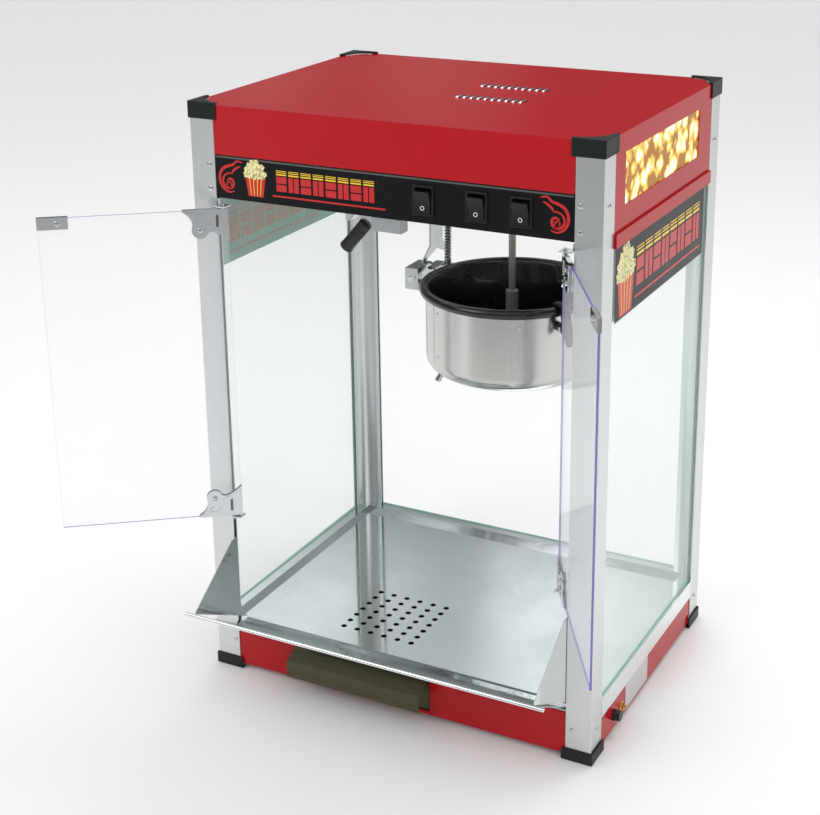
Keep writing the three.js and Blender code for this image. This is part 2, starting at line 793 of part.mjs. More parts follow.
function kettleShell() {
  const cornerX = shellRadius - shellCorner;
  const cornerZ = shellBottom + shellCorner;
  const wall = turned([
    [0, shellBottom], ...arcPoints(cornerX, cornerZ, shellCorner, -90, 0, 6), [shellRadius, shellTop],
    [shellRadius - sheet, shellTop], ...arcPoints(cornerX, cornerZ, shellCorner - sheet, 0, -90, 6),
    [0, shellBottom + sheet],
  ], kettleX, kettleY);
  const angle = THREE.MathUtils.degToRad(stubAngle);
  const out = (reach, z) => [kettleX + reach * Math.cos(angle), kettleY + reach * Math.sin(angle), z];
  const stubStart = shellRadius - stubInset;
  const stub = rodBetween(stubRadius, out(stubStart, shellBottom + sheet - 0.4),
    out(stubStart + stubReach, shellBottom - stubDrop), 14);
  return join(wall, trunnion(-1), trunnion(1), stub);
}

function kettlePan() {
  const corner = 16;
  const inner = panRadius - corner;
  const outerWall = panRadius + panWall;
  const beadX = outerWall + rimRadius - 1.4;
  const low = panFloor + corner;
  return turned([
    [0, panFloor], ...arcPoints(inner, low + panWall, corner + panWall, -90, 0, 5),
    [outerWall, kettleRim - 3], ...arcPoints(beadX, kettleRim, rimRadius, 208, 520, 8),
    [panRadius, kettleRim + 1], ...arcPoints(inner, low + panWall, corner, 0, -90, 5),
    [0, panFloor + panWall],
  ], kettleX, kettleY);
}

function kettleHeater() {
  const bottom = shellBottom + sheet + gap;
  const top = panFloor - gap;
  const outer = shellRadius - shellCorner - heaterInset;
  const hole = heaterHole;
  return turned([[hole, bottom], [outer, bottom], [outer, top], [hole, top], [hole, bottom]], kettleX, kettleY);
}

// A lever hooked over the rim and held to the shell by a boss under it.
function kettleHandle() {
  const over = kettleRim + rimRadius + gap * 3;
  const beadOut = panRadius + panWall + 2 * rimRadius;
  const bossTop = kettleRim - 2 * rimRadius - 3;
  const bossBottom = bossTop - handleBoss;
  const tip = over - handleDrop;
  const start = shellRadius + gap;
  const outline = shapeOf([
    [start, bossBottom], [beadOut + handleThick, bossBottom], [beadOut + 4 * handleThick, tip],
    [beadOut + 5 * handleThick, tip + 2], [beadOut + 2 * handleThick, over + handleThick],
    [panRadius + 2, over + handleThick], [panRadius - 3, over + 2], [panRadius - 1, over],
    [beadOut + 1, over], [beadOut + handleThick, bossTop], [start, bossTop],
  ]);
  const lever = alongY(outline, -handleWidth / 2, handleWidth / 2);
  return lever.rotateZ(THREE.MathUtils.degToRad(handleAngle)).translate(kettleX, kettleY, 0);
}

add("kettle_shell", kettleShell(), brushed);
add("kettle_pan", kettlePan(), blackCoat);
add("kettle_heater", kettleHeater(), aluminium);
add("kettle_handle", kettleHandle(), blackPlastic);

function stirrer() {
  const bottom = panFloor + panWall + gap * 2;
  const arm = bottom + rodRadius + 1;
  const hub = rodZ(sleeveRadius, 0, 0, bottom, sleeveBottom - stirrerClearance);
  const arms = rodX(rodRadius, -stirrerReach, stirrerReach, 0, arm, 10);
  const bend = stirrerReach - stirrerTip;
  const tips = [-1, 1].map((end) => rodBetween(rodRadius,
    [end * (stirrerReach - 1), 0, arm], [end * bend, -end * stirrerTipTurn, arm], 10));
  return join(hub, arms, ...tips).translate(kettleX, kettleY, 0);
}

add("stirrer", stirrer(), stainless);

// The kettle hangs from two straps, each forked and welded over a block that takes a trunnion.
const beadReach = panRadius + panWall + 2 * rimRadius - 1.4;
const blockInner = beadReach + blockGap;
const blockTop = blockBottom + blockHeight;

function pivotBlock(side) {
  const x = [kettleX + side * blockInner, kettleX + side * (blockInner + blockWidth)].sort((a, b) => a - b);
  const body = block(x[0], x[1], blockFront, blockFront + blockLength, blockBottom, blockTop);
  const bore = rodX(trunnionRadius + trunnionFit, x[0] - 5, x[1] + 5, kettleY, tiltHeight, 24);
  return cut(body, bore);
}

function strap(side) {
  const back = strapFront + strapWidth;
  const foot = blockTop - 1;
  const middleY = blockFront + blockLength / 2;
  const outline = shapeOf([
    [strapFront, ceilingUnder], [strapFront, strapFork], [middleY + forkReach, foot],
    [middleY + forkReach + forkWidth, foot],
    [strapFront + strapWidth / 2, strapFork - 8], [back + 6, foot], [back + 6 + forkWidth, foot],
    [back, strapFork], [back, ceilingUnder],
  ]);
  return alongX(outline, strapX(side) - strapThickness / 2, strapX(side) + strapThickness / 2);
}

function strapX(side) {
  return kettleX + side * (blockInner + blockWidth / 2);
}

// A clip behind the left block carries the foot of the heater's armoured lead, clear of the tilting rim.
const leadX = kettleX - beadReach + leadOver;

function leadClip() {
  const top = leadFoot - gap;
  const turn = kettleX - beadReach - 3;
  const front = blockFront + blockLength - 1;
  const back = leadY + clipBack;
  return join(
    block(strapX(-1), turn, front, back, top - clipSheet, top),
    block(turn - 1, leadX + leadRadius, leadY - leadRadius, back, top - clipSheet, top),
  );
}

add("kettle_hanger_left", join(pivotBlock(-1), strap(-1), leadClip()), chrome);
add("kettle_hanger_right", join(pivotBlock(1), strap(1)), chrome);
function kettleLead() {
  return rodBetween(leadRadius, [leadX, leadY + 4, ceilingUnder - 1], [leadX, leadY, leadFoot + gap], 12);
}

add("kettle_lead", kettleLead(), brushed);

// The origin is the middle of the footprint of the whole machine as it stands, on the floor.
root.updateMatrixWorld(true);
const bounds = new THREE.Box3().setFromObject(root, true);
const centre = bounds.getCenter(new THREE.Vector3());
root.position.set(-centre.x, -centre.y, -bounds.min.z);
root.updateMatrixWorld(true);

export default root;
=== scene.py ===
import math
import bmesh
import bpy
from mathutils import Matrix, Vector


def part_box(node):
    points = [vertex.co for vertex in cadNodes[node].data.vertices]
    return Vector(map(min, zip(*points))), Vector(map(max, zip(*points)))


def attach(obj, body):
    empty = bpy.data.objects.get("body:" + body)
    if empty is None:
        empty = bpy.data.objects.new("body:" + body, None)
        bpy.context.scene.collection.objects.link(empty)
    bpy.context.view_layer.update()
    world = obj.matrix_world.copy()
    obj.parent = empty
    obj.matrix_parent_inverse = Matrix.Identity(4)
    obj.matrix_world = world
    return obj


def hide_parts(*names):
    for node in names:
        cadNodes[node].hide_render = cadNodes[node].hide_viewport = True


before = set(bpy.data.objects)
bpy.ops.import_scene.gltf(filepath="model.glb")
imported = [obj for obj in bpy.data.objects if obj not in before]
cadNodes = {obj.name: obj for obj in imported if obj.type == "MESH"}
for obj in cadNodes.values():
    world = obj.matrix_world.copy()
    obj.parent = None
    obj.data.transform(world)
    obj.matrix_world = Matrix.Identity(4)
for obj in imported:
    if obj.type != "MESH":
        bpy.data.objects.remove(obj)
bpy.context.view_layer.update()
print("frame loaded:", len(cadNodes), "nodes")

# Places below are in millimetres from the middle of the cabinet's footprint.
hoodLow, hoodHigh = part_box("hood_cover")
cabinetCentre = Vector(((hoodLow.x + hoodHigh.x) / 2, (hoodLow.y + hoodHigh.y) / 2, 0))
cabinetMatrix = Matrix.Translation(cabinetCentre) @ Matrix.Scale(0.001, 4)


def place(x, y, z):
    return cabinetMatrix @ Vector((x, y, z))


# A frame at a point, turned by degrees about one axis.
def seatAt(point, degrees, axis):
    return Matrix.Translation(point) @ Matrix.Rotation(math.radians(degrees), 4, axis)


# Helpers for meshes.
def link(name, mesh):
    piece = bpy.data.objects.new(name, mesh)
    bpy.context.scene.collection.objects.link(piece)
    return piece


def smooth(mesh, angle=32):
    mesh.shade_smooth()
    mesh.set_sharp_from_angle(angle=math.radians(angle))


def applyModifiers(piece):
    graph = bpy.context.evaluated_depsgraph_get()
    mesh = bpy.data.meshes.new_from_object(piece.evaluated_get(graph))
    piece.modifiers.clear()
    piece.data = mesh
    return mesh


def settle(piece, body, slot, *materials, stands=()):
    piece.data.materials.clear()
    for material in materials:
        piece.data.materials.append(material)
    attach(piece, body)
    if stands:
        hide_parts(*stands)
    for name in stands:
        cadNodes[name].data.materials.clear()
        cadNodes[name].data.materials.append(materials[0])
    return piece


# Rounds the sharp edges, and keeps wide faces flat where they meet the rounded ones.
def roundEdges(piece, bevel, segments):
    rounding = piece.modifiers.new("rounding", "BEVEL")
    rounding.width = bevel / 1000
    rounding.segments = segments
    rounding.limit_method = "ANGLE"
    rounding.angle_limit = math.radians(34)
    piece.data.shade_smooth()
    weighting = piece.modifiers.new("weighting", "WEIGHTED_NORMAL")
    weighting.mode = "FACE_AREA"
    weighting.weight = 100
    weighting.keep_sharp = True


def cutWith(piece, cutter):
    boolean = piece.modifiers.new("cut", "BOOLEAN")
    boolean.operation = "DIFFERENCE"
    boolean.solver = "EXACT"
    boolean.object = cutter


# A CAD node's mesh with merged faces and rounded edges.
def refined(node, bevel, segments=2, cutter=None):
    mesh = cadNodes[node].data.copy()
    mesh.materials.clear()
    work = bmesh.new()
    work.from_mesh(mesh)
    bmesh.ops.remove_doubles(work, verts=work.verts, dist=2e-6)
    bmesh.ops.dissolve_limit(work, angle_limit=math.radians(0.6), verts=work.verts, edges=work.edges)
    work.to_mesh(mesh)
    work.free()
    if "custom_normal" in mesh.attributes:
        mesh.attributes.remove(mesh.attributes["custom_normal"])
    piece = link("look_" + node, mesh)
    if cutter is not None:
        cutWith(piece, cutter)
    roundEdges(piece, bevel, segments)
    applyModifiers(piece)
    return piece


# The refined node, settled on its body in place of the CAD one.
def dress(node, bevel, body, slot, *materials, segments=2, cutter=None):
    return settle(refined(node, bevel, segments, cutter), body, slot, *materials, stands=[node])


def meshOf(vertices, faces):
    mesh = bpy.data.meshes.new("mesh")
    mesh.from_pydata([tuple(v) for v in vertices], [], faces)
    work = bmesh.new()
    work.from_mesh(mesh)
    bmesh.ops.remove_doubles(work, verts=work.verts, dist=1e-7)
    bmesh.ops.recalc_face_normals(work, faces=work.faces)
    work.to_mesh(mesh)
    work.free()
    return mesh


# Turns a profile of (radius, height) pairs about the local Z axis, as vertices and faces.
def turned(profile, sides=96, matrix=Matrix.Identity(4)):
    vertices = []
    for radius, height in profile:
        for i in range(sides):
            angle = 2 * math.pi * i / sides
            vertices.append(matrix @ Vector((radius * math.cos(angle), radius * math.sin(angle), height)))
    faces = []
    for row in range(len(profile) - 1):
        for i in range(sides):
            j = (i + 1) % sides
            faces.append((row * sides + i, row * sides + j, (row + 1) * sides + j, (row + 1) * sides + i))
    return vertices, faces


def boxOf(low, high):
    xs, ys, zs = zip(low, high)
    corners = [Vector((x, y, z)) for x in xs for y in ys for z in zs]
    faces = [(0, 1, 3, 2), (4, 6, 7, 5), (0, 4, 5, 1), (2, 3, 7, 6), (0, 2, 6, 4), (1, 5, 7, 3)]
    return corners, faces


# A tube of given radius along a line of points.
def tubeOf(points, radius, sides=12):
    points = [Vector(p) for p in points]
    radii = radius if isinstance(radius, (list, tuple)) else [radius] * len(points)
    vertices, faces = [], []
    side = None
    for k, point in enumerate(points):
        ahead = points[min(k + 1, len(points) - 1)] - points[max(k - 1, 0)]
        ahead.normalize()
        if side is None:
            side = ahead.orthogonal().normalized()
        side = (side - ahead * side.dot(ahead)).normalized()
        other = ahead.cross(side)
        for i in range(sides):
            angle = 2 * math.pi * i / sides
            vertices.append(point + radii[k] * (math.cos(angle) * side + math.sin(angle) * other))
    for k in range(len(points) - 1):
        for i in range(sides):
            j = (i + 1) % sides
            faces.append((k * sides + i, k * sides + j, (k + 1) * sides + j, (k + 1) * sides + i))
    faces.append(tuple(reversed(range(sides))))
    faces.append(tuple(range((len(points) - 1) * sides, len(points) * sides)))
    return vertices, faces


def gather(parts):
    vertices, faces = [], []
    for partVertices, partFaces in parts:
        start = len(vertices)
        vertices += list(partVertices)
        faces += [tuple(i + start for i in face) for face in partFaces]
    return vertices, faces


# One piece from several lists of vertices and faces in cabinet millimetres.
def assembled(name, parts, matrix=cabinetMatrix, bevel=0, segments=2, angle=32):
    vertices, faces = gather(parts)
    piece = link(name, meshOf([matrix @ Vector(v) for v in vertices], faces))
    if bevel:
        roundEdges(piece, bevel, segments)
        applyModifiers(piece)
    else:
        smooth(piece.data, angle)
    return piece


# Shared shader groups and small shader helpers.
def newGroup(name, inputs, outputs):
    tree = bpy.data.node_groups.new(name, "ShaderNodeTree")
    for label, kind, value in inputs:
        socket = tree.interface.new_socket(name=label, in_out="INPUT", socket_type=kind)
        socket.default_value = value
    for label, kind in outputs:
        tree.interface.new_socket(name=label, in_out="OUTPUT", socket_type=kind)
    return tree, tree.nodes.new("NodeGroupInput"), tree.nodes.new("NodeGroupOutput")


def node(tree, kind, **settings):
    made = tree.nodes.new(kind)
    for key, value in settings.items():
        setattr(made, key, value)
    return made


def mathNode(tree, operation, first, second=None, third=None, clamp=False):
    made = node(tree, "ShaderNodeMath", operation=operation, use_clamp=clamp)
    for i, value in enumerate((first, second, third)):
        if value is None:
            continue
        if isinstance(value, (int, float)):
            made.inputs[i].default_value = value
        else:
            tree.links.new(value, made.inputs[i])
    return made.outputs[0]


def mapRange(tree, value, fromLow, fromHigh, toLow, toHigh):
    made = node(tree, "ShaderNodeMapRange")
    tree.links.new(value, made.inputs["Value"])
    numbers = (fromLow, fromHigh, toLow, toHigh)
    for label, number in zip(("From Min", "From Max", "To Min", "To Max"), numbers):
        made.inputs[label].default_value = number
    return made.outputs[0]


# The factor picks between the first colour at 0 and the second at 1. The colour sockets go by number.
def mixColours(tree, factor, first, second):
    made = node(tree, "ShaderNodeMix", data_type="RGBA")
    made.inputs[6].default_value = (*first, 1)
    made.inputs[7].default_value = (*second, 1)
    tree.links.new(factor, made.inputs[0])
    return made


def objectPlace(tree):
    return node(tree, "ShaderNodeTexCoord").outputs["Object"]


# A noise texture; with no vector of its own it lies in object space.
def noiseNode(tree, scale, detail, vector=None):
    noise = node(tree, "ShaderNodeTexNoise")
    noise.inputs["Scale"].default_value = scale
    noise.inputs["Detail"].default_value = detail
    tree.links.new(vector or objectPlace(tree), noise.inputs["Vector"])
    return noise


def voronoiNode(tree, feature, scale, vector):
    lumps = node(tree, "ShaderNodeTexVoronoi", feature=feature)
    lumps.inputs["Scale"].default_value = scale
    tree.links.new(vector, lumps.inputs["Vector"])
    return lumps


# Handling marks: a soft blotchy mask and a fine grime mask.
def makeWear():
    tree, source, target = newGroup("handlingMarks", [
        ("Amount", "NodeSocketFloat", 0.1), ("Base", "NodeSocketFloat", 0.3)],
        [("Roughness", "NodeSocketFloat"), ("Mask", "NodeSocketFloat")])
    broad = mathNode(tree, "MULTIPLY", noiseNode(tree, 9, 4).outputs["Fac"], 0.75)
    fine = mathNode(tree, "MULTIPLY", noiseNode(tree, 130, 2).outputs["Fac"], 0.25)
    mixed = mathNode(tree, "ADD", broad, fine)
    mask = mapRange(tree, mixed, 0.36, 0.66, -1, 1)
    offset = mathNode(tree, "MULTIPLY", mask, source.outputs["Amount"])
    rough = mathNode(tree, "ADD", source.outputs["Base"], offset, clamp=True)
    tree.links.new(rough, target.inputs["Roughness"])
    tree.links.new(mask, target.inputs["Mask"])
    return tree


# Brushed grain: fine lines along a direction, as roughness and as a height.
def makeGrain():
    tree, source, target = newGroup("brushedGrain", [
        ("Stretch", "NodeSocketVector", (1, 1, 1)), ("Base", "NodeSocketFloat", 0.3),
        ("Amount", "NodeSocketFloat", 0.1)],
        [("Roughness", "NodeSocketFloat"), ("Height", "NodeSocketFloat"), ("Shade", "NodeSocketFloat")])
    product = node(tree, "ShaderNodeVectorMath", operation="MULTIPLY")
    tree.links.new(objectPlace(tree), product.inputs[0])
    tree.links.new(source.outputs["Stretch"], product.inputs[1])
    noise = noiseNode(tree, 1, 3, product.outputs[0])
    line = mapRange(tree, noise.outputs["Fac"], 0.3, 0.7, -1, 1)
    offset = mathNode(tree, "MULTIPLY", line, source.outputs["Amount"])
    rough = mathNode(tree, "ADD", source.outputs["Base"], offset, clamp=True)
    tree.links.new(rough, target.inputs["Roughness"])
    tree.links.new(noise.outputs["Fac"], target.inputs["Height"])
    tree.links.new(mapRange(tree, noise.outputs["Fac"], 0.3, 0.7, 0, 1), target.inputs["Shade"])
    return tree


# The faint unevenness of enamel and rolled sheet.
def makeRipple():
    tree, source, target = newGroup("sheetRipple", [("Scale", "NodeSocketFloat", 60)],
                                    [("Height", "NodeSocketFloat")])
    noise = noiseNode(tree, 60, 2)
    tree.links.new(source.outputs["Scale"], noise.inputs["Scale"])
    tree.links.new(noise.outputs["Fac"], target.inputs["Height"])
    return tree


wearGroup = makeWear()
grainGroup = makeGrain()
rippleGroup = makeRipple()
print("shader groups made")


# Materials.
def useGroup(tree, group, **values):
    made = node(tree, "ShaderNodeGroup", node_tree=group)
    for label, value in values.items():
        made.inputs[label].default_value = value
    return made


def startMaterial(name, colour, metallic=0.0, roughness=0.4, **sockets):
    material = bpy.data.materials.new(name)
    material.use_nodes = True
    tree = material.node_tree
    shader = tree.nodes["Principled BSDF"]
    shader.inputs["Base Color"].default_value = (*colour, 1)
    shader.inputs["Metallic"].default_value = metallic
    shader.inputs["Roughness"].default_value = roughness
    for label, value in sockets.items():
        shader.inputs[label.replace("_", " ")].default_value = value
    return material, tree, shader


def bumpFrom(tree, shader, height, strength, distance):
    bump = node(tree, "ShaderNodeBump")
    bump.inputs["Strength"].default_value = strength
    bump.inputs["Distance"].default_value = distance
    tree.links.new(height, bump.inputs["Height"])
    tree.links.new(bump.outputs[0], shader.inputs["Normal"])


def wornFinish(name, colour, metallic, roughness, amount, ripple=None, strength=0.1, tint=None,
               **sockets):
    material, tree, shader = startMaterial(name, colour, metallic, roughness, **sockets)
    wear = useGroup(tree, wearGroup, Amount=amount, Base=roughness)
    tree.links.new(wear.outputs["Roughness"], shader.inputs["Roughness"])
    if tint is not None:
        mix = mixColours(tree, mapRange(tree, wear.outputs["Mask"], -1, 1, 0, 1), colour, tint)
        tree.links.new(mix.outputs[2], shader.inputs["Base Color"])
    if ripple:
        made = useGroup(tree, rippleGroup, Scale=ripple)
        bumpFrom(tree, shader, made.outputs["Height"], strength, 0.0006)
    return material


def brushedFinish(name, colour, roughness, amount, stretch, strength=0.15, shade=0.85):
    material, tree, shader = startMaterial(name, colour, 1.0, roughness)
    grain = useGroup(tree, grainGroup, Stretch=stretch, Base=roughness, Amount=amount)
    tree.links.new(grain.outputs["Roughness"], shader.inputs["Roughness"])
    mix = mixColours(tree, grain.outputs["Shade"], [c * shade for c in colour], colour)
    tree.links.new(mix.outputs[2], shader.inputs["Base Color"])
    bumpFrom(tree, shader, grain.outputs["Height"], strength, 0.0002)
    return material


def glassFinish(name, colour, roughness=0.02, ior=1.45, alpha=0.16, edge=0.6):
    material, tree, shader = startMaterial(name, colour, 0.0, roughness)
    shader.inputs["IOR"].default_value = ior
    wear = useGroup(tree, wearGroup, Amount=0.012, Base=roughness)
    tree.links.new(wear.outputs["Roughness"], shader.inputs["Roughness"])
    facing = node(tree, "ShaderNodeLayerWeight")
    facing.inputs["Blend"].default_value = 0.25
    opacity = mapRange(tree, facing.outputs["Facing"], 0.0, 1.0, alpha, edge)
    tree.links.new(opacity, shader.inputs["Alpha"])
    return material


enamelRed = wornFinish("enamelRed", (0.43, 0.008, 0.012), 0, 0.16, 0.04, 26, 0.05,
                       tint=(0.40, 0.007, 0.011), Specular_IOR_Level=0.24)
aluminium = brushedFinish("aluminium", (0.70, 0.72, 0.72), 0.3, 0.03, (5200, 5200, 30), 0.02, 0.985)
mouldedBlack = wornFinish("mouldedBlack", (0.009, 0.012, 0.012), 0, 0.42, 0.1, 420, 0.2,
                          Specular_IOR_Level=0.3)
switchBlack = wornFinish("switchBlack", (0.006, 0.008, 0.009), 0, 0.26, 0.06, 300, 0.08,
                         Specular_IOR_Level=0.35)
coatingBlack = wornFinish("coatingBlack", (0.010, 0.010, 0.011), 0, 0.22, 0.07, 90, 0.12, Coat_Weight=0.5)
gripBlack = wornFinish("gripBlack", (0.014, 0.015, 0.016), 0, 0.34, 0.08, 260, 0.15)
fasciaBlack = wornFinish("fasciaBlack", (0.006, 0.007, 0.008), 0, 0.24, 0.05, 30, 0.03,
                         Specular_IOR_Level=0.15)
polished = wornFinish("polishedSteel", (0.86, 0.88, 0.88), 1, 0.09, 0.04, 14, 0.10, tint=(0.80, 0.83, 0.84))
galvanised = wornFinish("galvanisedSteel", (0.55, 0.57, 0.58), 1, 0.38, 0.14, 60, 0.2,
                        tint=(0.44, 0.46, 0.48))
chrome = wornFinish("chromePlate", (0.74, 0.76, 0.78), 1, 0.09, 0.03, 20, 0.04)
brushedRound = brushedFinish("brushedRound", (0.64, 0.64, 0.62), 0.22, 0.03, (5, 5, 5200), 0.02, 0.96)
brushedLong = brushedFinish("brushedLong", (0.105, 0.100, 0.062), 0.3, 0.06, (3, 2600, 2600), 0.04, 0.92)
spindleSteel = wornFinish("spindleSteel", (0.40, 0.38, 0.34), 0.55, 0.4, 0.08, 60, 0.08)
hangerSteel = wornFinish("hangerSteel", (0.60, 0.62, 0.61), 1, 0.12, 0.05, 30, 0.12, tint=(0.50, 0.53, 0.53))
darkMetal = wornFinish("darkMetal", (0.2, 0.2, 0.2), 1, 0.4, 0.1, 80, 0.1)
brass = wornFinish("brassMetal", (0.75, 0.52, 0.2), 1, 0.25, 0.08, 80, 0.1)
labelSilver = brushedFinish("labelSilver", (0.72, 0.72, 0.72), 0.4, 0.08, (900, 8, 900), 0.1, 0.9)
printRed = wornFinish("printRed", (0.52, 0.012, 0.014), 0, 0.28, 0.05)
printYellow = wornFinish("printYellow", (0.85, 0.55, 0.03), 0, 0.28, 0.05)
printWhite = wornFinish("printWhite", (0.85, 0.85, 0.82), 0, 0.4, 0.05)
printPale = wornFinish("printPale", (0.30, 0.46, 0.39), 0, 0.25, 0.05)
printGhost = wornFinish("printGhost", (0.44, 0.33, 0.27), 0, 0.28, 0.05)
clearGlass = glassFinish("clearGlass", (0.80, 0.93, 0.88), alpha=0.03, edge=0.5)
glassEdge = glassFinish("glassEdge", (0.16, 0.42, 0.33), roughness=0.1, alpha=0.75, edge=0.9)
doorClear = glassFinish("doorClear", (0.90, 0.92, 0.95), alpha=0.09, edge=0.5)
doorEdge = glassFinish("doorEdge", (0.13, 0.11, 0.40), roughness=0.15, alpha=0.85, edge=0.95)


# A picture of popped corn: pale lumps over golden shadow.
def makePopcorn():
    material, tree, shader = startMaterial("popcornPicture", (0.8, 0.5, 0.1), 0, 0.3)
    warp = noiseNode(tree, 70, 3)
    push = node(tree, "ShaderNodeVectorMath", operation="MULTIPLY_ADD")
    tree.links.new(warp.outputs["Color"], push.inputs[0])
    push.inputs[1].default_value = (0.012, 0.012, 0.012)
    tree.links.new(objectPlace(tree), push.inputs[2])
    lumps = voronoiNode(tree, "SMOOTH_F1", 50, push.outputs[0])
    lumps.inputs["Smoothness"].default_value = 0.12
    small = voronoiNode(tree, "F1", 105, push.outputs[0])
    total = mathNode(tree, "MULTIPLY_ADD", small.outputs["Distance"], 0.35, lumps.outputs["Distance"])
    ramp = node(tree, "ShaderNodeValToRGB")
    tree.links.new(total, ramp.inputs["Fac"])
    stops = [(0.36, (1.0, 0.98, 0.86)), (0.88, (0.30, 0.12, 0.01)), (0.52, (0.98, 0.86, 0.42)),
             (0.68, (0.85, 0.52, 0.08))]
    colours = ramp.color_ramp.elements
    for i, (position, colour) in enumerate(stops):
        stop = colours[i] if i < 2 else colours.new(position)
        stop.position, stop.color = position, (*colour, 1)
    tree.links.new(ramp.outputs["Color"], shader.inputs["Base Color"])
    tree.links.new(ramp.outputs["Color"], shader.inputs["Emission Color"])
    shader.inputs["Emission Strength"].default_value = 0.5
    shader.inputs["Specular IOR Level"].default_value = 0.2
    return material


# Printed corn: cream lumps with olive between them.
def makeCream():
    cream, olive = (0.86, 0.80, 0.42), (0.38, 0.36, 0.12)
    material, tree, shader = startMaterial("printCream", cream, 0, 0.3)
    lumps = voronoiNode(tree, "F1", 270, objectPlace(tree))
    mix = mixColours(tree, mapRange(tree, lumps.outputs["Distance"], 0.32, 0.75, 0, 1), cream, olive)
    tree.links.new(mix.outputs[2], shader.inputs["Base Color"])
    return material


popcornPicture = makePopcorn()
printCream = makeCream()
print("materials made:", len(bpy.data.materials))


# Corner posts, caps and feet.
postLook = {"bevel": 0.7, "capBevel": 1.9, "footBevel": 2.2}
corners = ("front_left", "front_right", "back_left", "back_right")
for corner in corners:
    dress("post_" + corner, postLook["bevel"], "cabinet", "aluminium_profile", aluminium)
    dress("cap_" + corner, postLook["capBevel"], "cabinet", "black_moulding", mouldedBlack, segments=3)
    dress("foot_" + corner, postLook["footBevel"], "cabinet", "black_moulding", mouldedBlack, segments=3)
print("posts made")


# A pan-head screw with a cross recess, standing on local Z.
screwLook = {"radius": 3.3, "height": 1.7, "recess": 0.75, "reach": 2.0, "depth": 1.0, "sides": 32,
             "dome": (0.3, 0.6, 0.9, 1.1), "shoulder": 0.42, "foot": -0.3}


def screwHead(look):
    radius, height = look["radius"], look["height"]
    profile = [(0.001, height)]
    profile += [(radius * math.sin(a), height * (0.35 + 0.65 * math.cos(a))) for a in look["dome"]]
    profile += [(radius, height * look["shoulder"]), (radius, look["foot"])]
    work = bmesh.new()
    vertices, faces = turned(profile, look["sides"])
    made = [work.verts.new(v) for v in vertices]
    for face in faces:
        work.faces.new([made[i] for i in face])
    bmesh.ops.remove_doubles(work, verts=work.verts, dist=0.01)
    bmesh.ops.holes_fill(work, edges=work.edges, sides=64)
    bmesh.ops.recalc_face_normals(work, faces=work.faces)
    head = bpy.data.meshes.new("screwHead")
    work.to_mesh(head)
    work.free()
    piece = link("screwSource", head)
    low, high, half = height - look["depth"], height + 1, look["recess"] / 2
    cutters = []
    for x, y in ((half, look["reach"]), (look["reach"], half)):
        cutters.append(link("armSource", meshOf(*boxOf((-x, -y, low), (x, y, high)))))
        cutWith(piece, cutters[-1])
    applyModifiers(piece)
    for cutter in cutters:
        bpy.data.objects.remove(cutter)
    piece.data.transform(Matrix.Scale(0.001, 4))
    smooth(piece.data, 40)
    piece.hide_render = True
    return piece


# A hidden piece to copy, from vertices and faces in millimetres.
def sourceOf(name, solid):
    vertices, faces = solid
    piece = link(name, meshOf([Vector(v) / 1000 for v in vertices], faces))
    piece.hide_render = True
    return piece


# Puts copies of a source mesh on points, each turned so that its Z follows the point's direction.
def makeScatter():
    tree = bpy.data.node_groups.new("scatterOnPoints", "GeometryNodeTree")
    for label, kind in (("Points", "NodeSocketGeometry"), ("Source", "NodeSocketObject"),
                        ("Size", "NodeSocketFloat"), ("Material", "NodeSocketMaterial")):
        tree.interface.new_socket(name=label, in_out="INPUT", socket_type=kind)
    tree.interface.new_socket(name="Geometry", in_out="OUTPUT", socket_type="NodeSocketGeometry")
    source, target = tree.nodes.new("NodeGroupInput"), tree.nodes.new("NodeGroupOutput")
    info = tree.nodes.new("GeometryNodeObjectInfo")
    onPoints = tree.nodes.new("GeometryNodeInstanceOnPoints")
    direction = node(tree, "GeometryNodeInputNamedAttribute", data_type="FLOAT_VECTOR")
    direction.inputs["Name"].default_value = "direction"
    spin = node(tree, "GeometryNodeInputNamedAttribute", data_type="FLOAT")
    spin.inputs["Name"].default_value = "spin"
    align = node(tree, "FunctionNodeAlignRotationToVector", axis="Z")
    turn = tree.nodes.new("FunctionNodeAxisAngleToRotation")
    turn.inputs["Axis"].default_value = (0, 0, 1)
    rotate = node(tree, "FunctionNodeRotateRotation", rotation_space="LOCAL")
    realize = tree.nodes.new("GeometryNodeRealizeInstances")
    setMaterial = tree.nodes.new("GeometryNodeSetMaterial")
    for first, output, second, entry in (
            (source, "Points", onPoints, "Points"), (source, "Source", info, "Object"),
            (info, "Geometry", onPoints, "Instance"), (direction, "Attribute", align, "Vector"),
            (spin, "Attribute", turn, "Angle"), (align, "Rotation", rotate, "Rotation"),
            (turn, "Rotation", rotate, "Rotate By"), (rotate, "Rotation", onPoints, "Rotation"),
            (source, "Size", onPoints, "Scale"), (onPoints, "Instances", realize, "Geometry"),
            (realize, "Geometry", setMaterial, "Geometry"), (source, "Material", setMaterial, "Material"),
            (setMaterial, "Geometry", target, "Geometry")):
        tree.links.new(first.outputs[output], second.inputs[entry])
    return tree


scatterTree = makeScatter()


